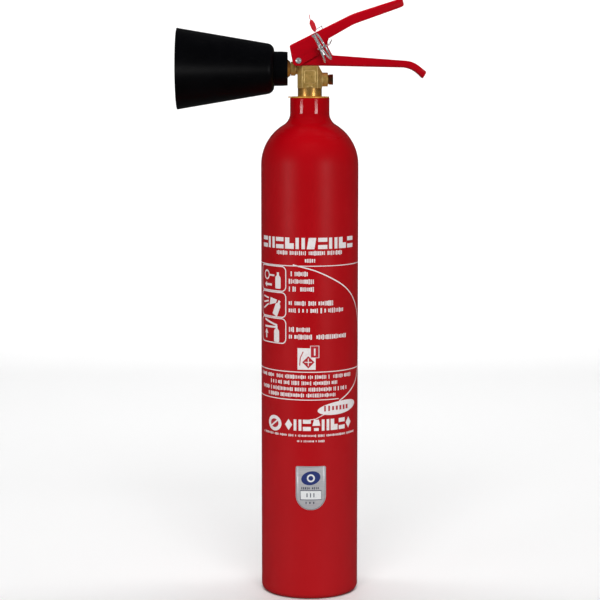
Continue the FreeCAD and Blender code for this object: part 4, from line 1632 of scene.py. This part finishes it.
@dataclass
class Valve:
    """The brass valve: forging, gland, plug, moving stem and what hangs below it."""

    forging_round: float = 0.35 * MM
    foot_top: float = 532.9 * MM
    # Faces beyond this depth whose sideways lean lies between the next two values get a painted highlight.
    highlight_depth: float = 10.2 * MM
    highlight_lean_least: float = 0.12
    highlight_lean_most: float = 0.62
    machined_round: float = 0.3 * MM
    stem_travel: float = 4.6 * MM
    spring_wire: float = 0.7 * MM
    spring_turns: float = 6.0

    def build(self) -> None:
        """Soften the forging, give its edges and angled faces a painted highlight in brighter brass, and
        turn the small parts.
        """
        body = softened_copy(
            "valve_body", "valve_forging", FORGING, self.forging_round, 3, 40.0, HIGHLIGHT_BRASS, False
        )
        body.data.materials.append(TURNED_BRASS.material())
        # Faces below the foot top are turned brass. Faces far out in front and behind that turn part way
        # to the side take the brighter brass as a painted highlight; the rounded edges already carry it.
        for face in body.data.polygons:
            lean = abs(face.normal.x)
            if face.center.z < self.foot_top:
                face.material_index = 2
            elif abs(face.center.y) > self.highlight_depth and self.highlight_lean_least < lean < self.highlight_lean_most:
                face.material_index = 1
        dress(body, Body.VESSEL, FORGING, "valve_body")
        for node, name, finish in (
            ("gland_nut", "gland_nut_hex", TURNED_BRASS),
            ("burst_disc_plug", "burst_plug_hex", DARK_BRASS),
            ("discharge_nozzle", "nozzle_turned", TURNED_BRASS),
        ):
            dress(softened_copy(node, name, finish, self.machined_round, 2), Body.VESSEL, finish, node)
        self.build_spring()

    def build_spring(self) -> None:
        """Wind the valve spring between its retainer and the poppet."""
        low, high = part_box("valve_spring")
        wire = self.spring_wire
        spring = COIL_TREE.run(
            "valve_spring_wound",
            SPRING_STEEL,
            Coil_Radius=high.x - wire,
            Turns=self.spring_turns,
            Rise=high.z - low.z - 2 * wire,
            Base=low.z + wire,
            Wire_Radius=wire,
        )
        dress(spring, Body.VESSEL, SPRING_STEEL, "valve_spring")
        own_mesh(spring)


@dataclass
class Horn:
    """The moulded horn and its collar."""

    wall: float = 2.4 * MM
    back_wall: float = 4.0 * MM
    back_radius: float = 25.2 * MM
    back_round: float = 8.0 * MM
    hole: float = 7.95 * MM
    skirt: float = 2.6 * MM
    grip: float = 6.0 * MM

    def build(self) -> None:
        """Turn the bell and the collar."""
        low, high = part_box("horn")
        height = (low.z + high.z) / 2
        mouth = (high.z - low.z) / 2
        origin = Vector((0.0, 0.0, height))
        back_x, mouth_x = high.x, low.x
        back, hole = self.back_radius, self.hole
        outline = rounded(
            [
                (hole, back_x),
                (back, back_x, self.back_round),
                (mouth - 0.3 * MM, mouth_x + 1.6 * MM),
                (mouth, mouth_x + 1.0 * MM, 0.4 * MM),
                (mouth - 0.2 * MM, mouth_x, 0.4 * MM),
                (mouth - self.wall, mouth_x, 0.7 * MM),
                (back - self.wall, back_x - self.back_wall, self.back_round - self.wall),
                (hole, back_x - self.back_wall),
            ],
            steps=10,
            closed=True,
        )
        bell = lathe("horn_bell", outline, Axis.X, origin, HORN_BLACK, segments=160)
        dress(bell, Body.VESSEL, HORN_BLACK, "horn")
        low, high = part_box("horn_collar")
        collar_radius = (high.z - low.z) / 2
        skirt = high.x + self.skirt
        outline = rounded(
            [
                (hole, high.x),
                (10.9 * MM, high.x, 0.3 * MM),
                (11.2 * MM, skirt, 0.4 * MM),
                (collar_radius - 0.4 * MM, skirt, 0.5 * MM),
                (collar_radius, skirt - self.grip),
                (collar_radius, low.x),
                (hole, low.x),
            ],
            steps=6,
            closed=True,
        )
        collar = lathe("horn_collar_ring", outline, Axis.X, origin, HORN_BLACK, segments=96)
        dress(collar, Body.VESSEL, HORN_BLACK, "horn_collar")


@dataclass
class Grips:
    """The operating lever, the carrying handle and the rivet that joins them."""

    edge: float = 0.45 * MM
    shank: float = 2.3 * MM
    head_tall: float = 1.4 * MM

    def build(self) -> None:
        """Soften the sheet edges and turn the rivet."""
        lever = softened_copy("operating_lever", "lever_pressing", STEEL_RED, self.edge, 2)
        dress(lever, Body.LEVER, STEEL_RED, "operating_lever")
        handle = softened_copy("carrying_handle", "handle_pressing", STEEL_RED, self.edge, 2)
        dress(handle, Body.VESSEL, STEEL_RED, "carrying_handle")
        low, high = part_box("lever_pivot_rivet")
        centre = (low + high) / 2
        half, head = (high.y - low.y) / 2, (high.x - low.x) / 2
        shank, head_tall = self.shank, self.head_tall
        outline = rounded(
            [
                (0.0, -half),
                (head * 0.55, -half, 0.6 * MM),
                (head, -half + head_tall * 0.5, 0.5 * MM),
                (head, -half + head_tall),
                (shank, -half + head_tall),
                (shank, half - head_tall),
                (head, half - head_tall),
                (head, half - head_tall * 0.5, 0.5 * MM),
                (head * 0.55, half, 0.6 * MM),
                (0.0, half),
            ],
            steps=6,
        )
        rivet = lathe("pivot_rivet_turned", outline, Axis.Y, centre, STEEL, segments=48)
        dress(rivet, Body.VESSEL, STEEL, "lever_pivot_rivet")


@dataclass
class PinSet:
    """The safety pin, its split ring, and the tag and wire that seal them."""

    lean: float = math.radians(28.0)
    pin_radius: float = 2.0 * MM
    eye_radius: float = 3.5 * MM
    eye_wire: float = 0.9 * MM
    ring_radius: float = 14.6 * MM
    ring_wire: float = 1.02 * MM
    pin_x: float = 11.5 * MM
    pin_z: float = 574.5 * MM
    eye_y: float = -21.5 * MM

    def along(self) -> Vector:
        """Unit vector down the ring's leaning length."""
        return Vector((math.sin(self.lean), 0.0, -math.cos(self.lean)))

    def across(self) -> Vector:
        """Unit vector square to the ring's plane."""
        return Vector((math.cos(self.lean), 0.0, math.sin(self.lean)))

    def build_pin(self) -> None:
        """A drawn pin whose end is bent round into an eye."""
        eye = Vector((self.pin_x, self.eye_y, self.pin_z))
        loop = []
        for k in range(49):
            angle = math.tau * k / 48
            offset = Vector((0.0, math.cos(angle), 0.0)) + self.across() * math.sin(angle)
            loop.append(eye + offset * self.eye_radius)
        wire = tube("pin_eye_loop", loop[:-1], self.eye_wire, STEEL, closed=True)
        low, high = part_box("safety_pin")
        start = self.eye_y + self.eye_radius
        outline = rounded(
            [
                (0.0, high.y),
                (self.pin_radius * 0.6, high.y, 0.5 * MM),
                (self.pin_radius, high.y - 1.6 * MM, 0.8 * MM),
                (self.pin_radius, start + 2.2 * MM, 0.8 * MM),
                (self.eye_wire * 1.2, start + 0.3 * MM, 0.5 * MM),
                (0.0, start),
            ],
            steps=6,
        )
        foot = Vector((self.pin_x, 0.0, self.pin_z))
        shank = lathe("pin_shank", outline, Axis.Y, foot, STEEL, segments=40)
        dress(joined("safety_pin_drawn", [wire, shank]), Body.PIN, STEEL, "safety_pin")

    def build_ring(self) -> None:
        """Two close turns of one wire, parting towards the bottom."""
        centre = Vector((self.pin_x, self.eye_y - self.ring_radius, self.pin_z))
        turns, steps = 2.0, 160
        points = []
        for k in range(steps + 1):
            angle = math.tau * turns * k / steps
            fall = (1 - math.cos(angle)) / 2
            far = (1 - math.sin(angle)) / 2
            spread = 0.8 + 2.6 * fall**2 + 2.8 * far
            shift = spread * MM * math.sin(math.pi * (k / steps - 0.5))
            offset = Vector((0.0, math.sin(angle), 0.0)) - self.along() * math.cos(angle)
            points.append(centre + offset * self.ring_radius + self.across() * shift)
        ring = tube("split_ring", points, self.ring_wire, STEEL, sides=14)
        dress(ring, Body.RING, STEEL, "pull_ring")

    def build_tag(self) -> None:
        """A moulded leaf-shaped tag with a rib down it and a thin tail."""
        low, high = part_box("tamper_seal")
        lay = Matrix.Translation((low + high) / 2) @ Matrix.Rotation(-math.radians(20.0), 4, "Y")
        leaf = [
            (-1.3, 6.3, 0.8), (1.2, 6.6, 0.8), (2.7, 2.0, 1.8), (2.5, -3.4, 1.4),
            (0.8, -6.6, 0.6), (-0.9, -6.6, 0.6), (-2.5, -3.0, 1.4), (-2.8, 3.4, 1.4),
        ]  # fmt: skip
        rib = [(-0.7, 4.8, 0.5), (0.7, 4.8, 0.5), (0.9, -5.0, 0.6), (-0.9, -5.0, 0.6)]
        parts = [moulded_plate(leaf, 0.85, lay, SEAL_RED), moulded_plate(rib, 1.3, lay, SEAL_RED)]
        tail_route = ((-0.4, 0, 5.8), (-0.5, 0, 8.4), (-0.2, 0.2, 10.6), (0.3, 0.2, 12.2))
        tail = [lay @ (Vector(p) * MM) for p in tail_route]
        parts.append(tube("tail", flowing(tail, 6), 0.4 * MM, SEAL_RED, sides=10))
        dress(joined("seal_tag", parts), Body.LEVER, SEAL_RED, "tamper_seal")

    def build_wire(self) -> None:
        """Two thin strands twisted together, over the lever and back through the notch."""
        route = [
            (5.6, -17.6, 592.6), (10.5, -15.0, 596.0), (12.5, 0.0, 597.0), (12.6, 13.0, 597.0),
            (13.6, 17.4, 592.0), (14.6, 17.8, 581.0), (20.0, 16.0, 577.4), (22.4, 8.0, 581.3),
            (22.6, -10.0, 582.8), (19.6, -16.6, 578.6), (16.2, -19.6, 576.6),
        ]  # fmt: skip
        line = flowing([Vector(p) * MM for p in route], 14)
        strands = []
        for phase in (0.0, math.pi):
            points = []
            for index, point in enumerate(line):
                ahead = line[min(index + 1, len(line) - 1)] - line[max(index - 1, 0)]
                side = ahead.cross(Vector((0.3, 0.2, 1.0))).normalized()
                up = side.cross(ahead).normalized()
                angle = phase + index * 0.5
                points.append(point + (side * math.cos(angle) + up * math.sin(angle)) * 0.22 * MM)
            strands.append(tube("strand", points, 0.22 * MM, STEEL, sides=8))
        dress(joined("seal_wire_twisted", strands), Body.LEVER, STEEL, "seal_wire")

    def build(self) -> None:
        """Make the four pieces."""
        self.build_pin()
        self.build_ring()
        self.build_tag()
        self.build_wire()


# ------------------------------------------------------------------------------------------------ studio


@dataclass(frozen=True)
class Lamp:
    """A soft rectangular light; a mirrored one shows as a highlight in glossy surfaces."""

    name: str
    place: tuple[float, float, float]
    target: tuple[float, float, float]
    size: Point2
    power: float
    mirrored: bool = True

    def stand(self) -> None:
        """Put the light in the scene, facing its target."""
        data = bpy.data.lights.new(self.name, "AREA")
        data.shape = "RECTANGLE"
        data.size, data.size_y = self.size
        data.energy = self.power
        light = placed(self.name, data)
        light.location = self.place
        light.visible_glossy = self.mirrored
        facing = Vector(self.target) - Vector(self.place)
        light.rotation_euler = facing.to_track_quat("-Z", "Y").to_euler()


MIDDLE = (0.0, 0.0, 0.45)
WALL = (0.0, 2.6, 0.9)
LAMPS = (
    Lamp("left_box", (-1.6, -1.35, 0.465), MIDDLE, (0.62, 0.14), 5.4),
    Lamp("right_box", (1.25, -1.6, 0.465), MIDDLE, (0.62, 0.14), 5.4),
    Lamp("front_sheet", (0.0, -2.3, 2.7), MIDDLE, (2.4, 1.0), 86.0, mirrored=False),
    Lamp("backdrop_wash", (0.0, 0.5, 2.9), WALL, (4.0, 1.0), 110.0, mirrored=False),
)


@dataclass
class Studio:
    """A pale floor that curves up into a backdrop, soft lights and the camera."""

    distance: float = 2.0
    camera_height: float = 0.56
    camera_x: float = -0.0102
    aim_height: float = 0.3388
    shift: float = -0.045
    field_of_view: float = 17.87
    backdrop: Colour = (0.86, 0.86, 0.86)
    backdrop_thin: Colour = (0.84, 0.84, 0.84)
    surround_light: float = 0.07

    def build_floor(self) -> None:
        """Sweep the floor up behind the object."""
        depth, width, rise, bend = 2.6, 2.6, 4.5, 1.2
        profile = rounded([(-0.6, 0.0), (depth, 0.0, bend), (depth, rise)], steps=24)
        verts = [Vector((side * width / 2, y, z)) for side in (-1, 1) for y, z in profile]
        count = len(profile)
        faces = [(k, count + k, count + k + 1, k + 1) for k in range(count - 1)]
        floor_finish = Ink("studio_floor", "", shade=self.backdrop, thin=self.backdrop_thin)
        floor = mesh_piece("studio_floor", verts, faces, floor_finish)
        floor.data.shade_smooth()
        floor.visible_glossy = False
        floor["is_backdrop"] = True

    def build_surround(self) -> None:
        """Stand the whole set in a round white room that only the camera sees."""
        radius, tall, thick, drop = 6.0, 7.0, 0.1, -0.004
        section = [(0.0, drop), (radius, drop), (radius, tall), (radius + thick, tall)]
        section += [(radius + thick, drop - thick), (0.0, drop - thick)]
        room = lathe("studio_surround", section, Axis.Z, Vector(), Glow("studio_glow", ""), 96)
        for ray in ("diffuse", "glossy", "transmission", "shadow", "volume_scatter"):
            setattr(room, "visible_" + ray, False)
        room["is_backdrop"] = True

    def build_lights(self) -> None:
        """Stand the lamps and set an even surround."""
        for lamp in LAMPS:
            lamp.stand()
        world = bpy.data.worlds.new("surround")
        world.use_nodes = True
        background = world.node_tree.nodes["Background"]
        background.inputs["Color"].default_value = (1.0, 1.0, 1.0, 1.0)
        background.inputs["Strength"].default_value = self.surround_light
        bpy.context.scene.world = world

    def build_camera(self) -> None:
        """A long lens, a little above the middle of the object."""
        data = bpy.data.cameras.new("camera")
        data.sensor_fit = "HORIZONTAL"
        data.angle = math.radians(self.field_of_view)
        data.shift_y = self.shift
        data.dof.use_dof = False
        camera = placed("camera", data)
        camera.location = (self.camera_x, -self.distance, self.camera_height)
        aim = Vector((self.camera_x, 0.0, self.aim_height))
        camera.rotation_euler = (aim - camera.location).to_track_quat("-Z", "Y").to_euler()
        bpy.context.scene.camera = camera

    def build(self) -> None:
        """Set the whole studio."""
        self.build_floor()
        self.build_surround()
        self.build_lights()
        self.build_camera()
        bpy.context.scene.view_settings.view_transform = "Standard"


def dress_nodes() -> None:
    """Give every CAD node its material."""
    for name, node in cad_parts.items():
        material = NODE_FINISHES[name].material()
        node.data.materials.clear()
        node.data.materials.append(material)


def main() -> None:
    """Build the pieces in order."""
    logging.basicConfig(level=logging.INFO, format="%(name)s: %(message)s")
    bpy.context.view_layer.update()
    dress_nodes()
    for part in (Vessel(), FrontPrint(), ShieldSticker(), Valve(), Horn(), Grips(), PinSet(), Studio()):
        part.build()
        log.info("built %s", type(part).__name__)
    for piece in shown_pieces():
        log.info("piece %s has %d faces", piece.name, len(piece.data.polygons))


if __name__ == "__main__":
    main()
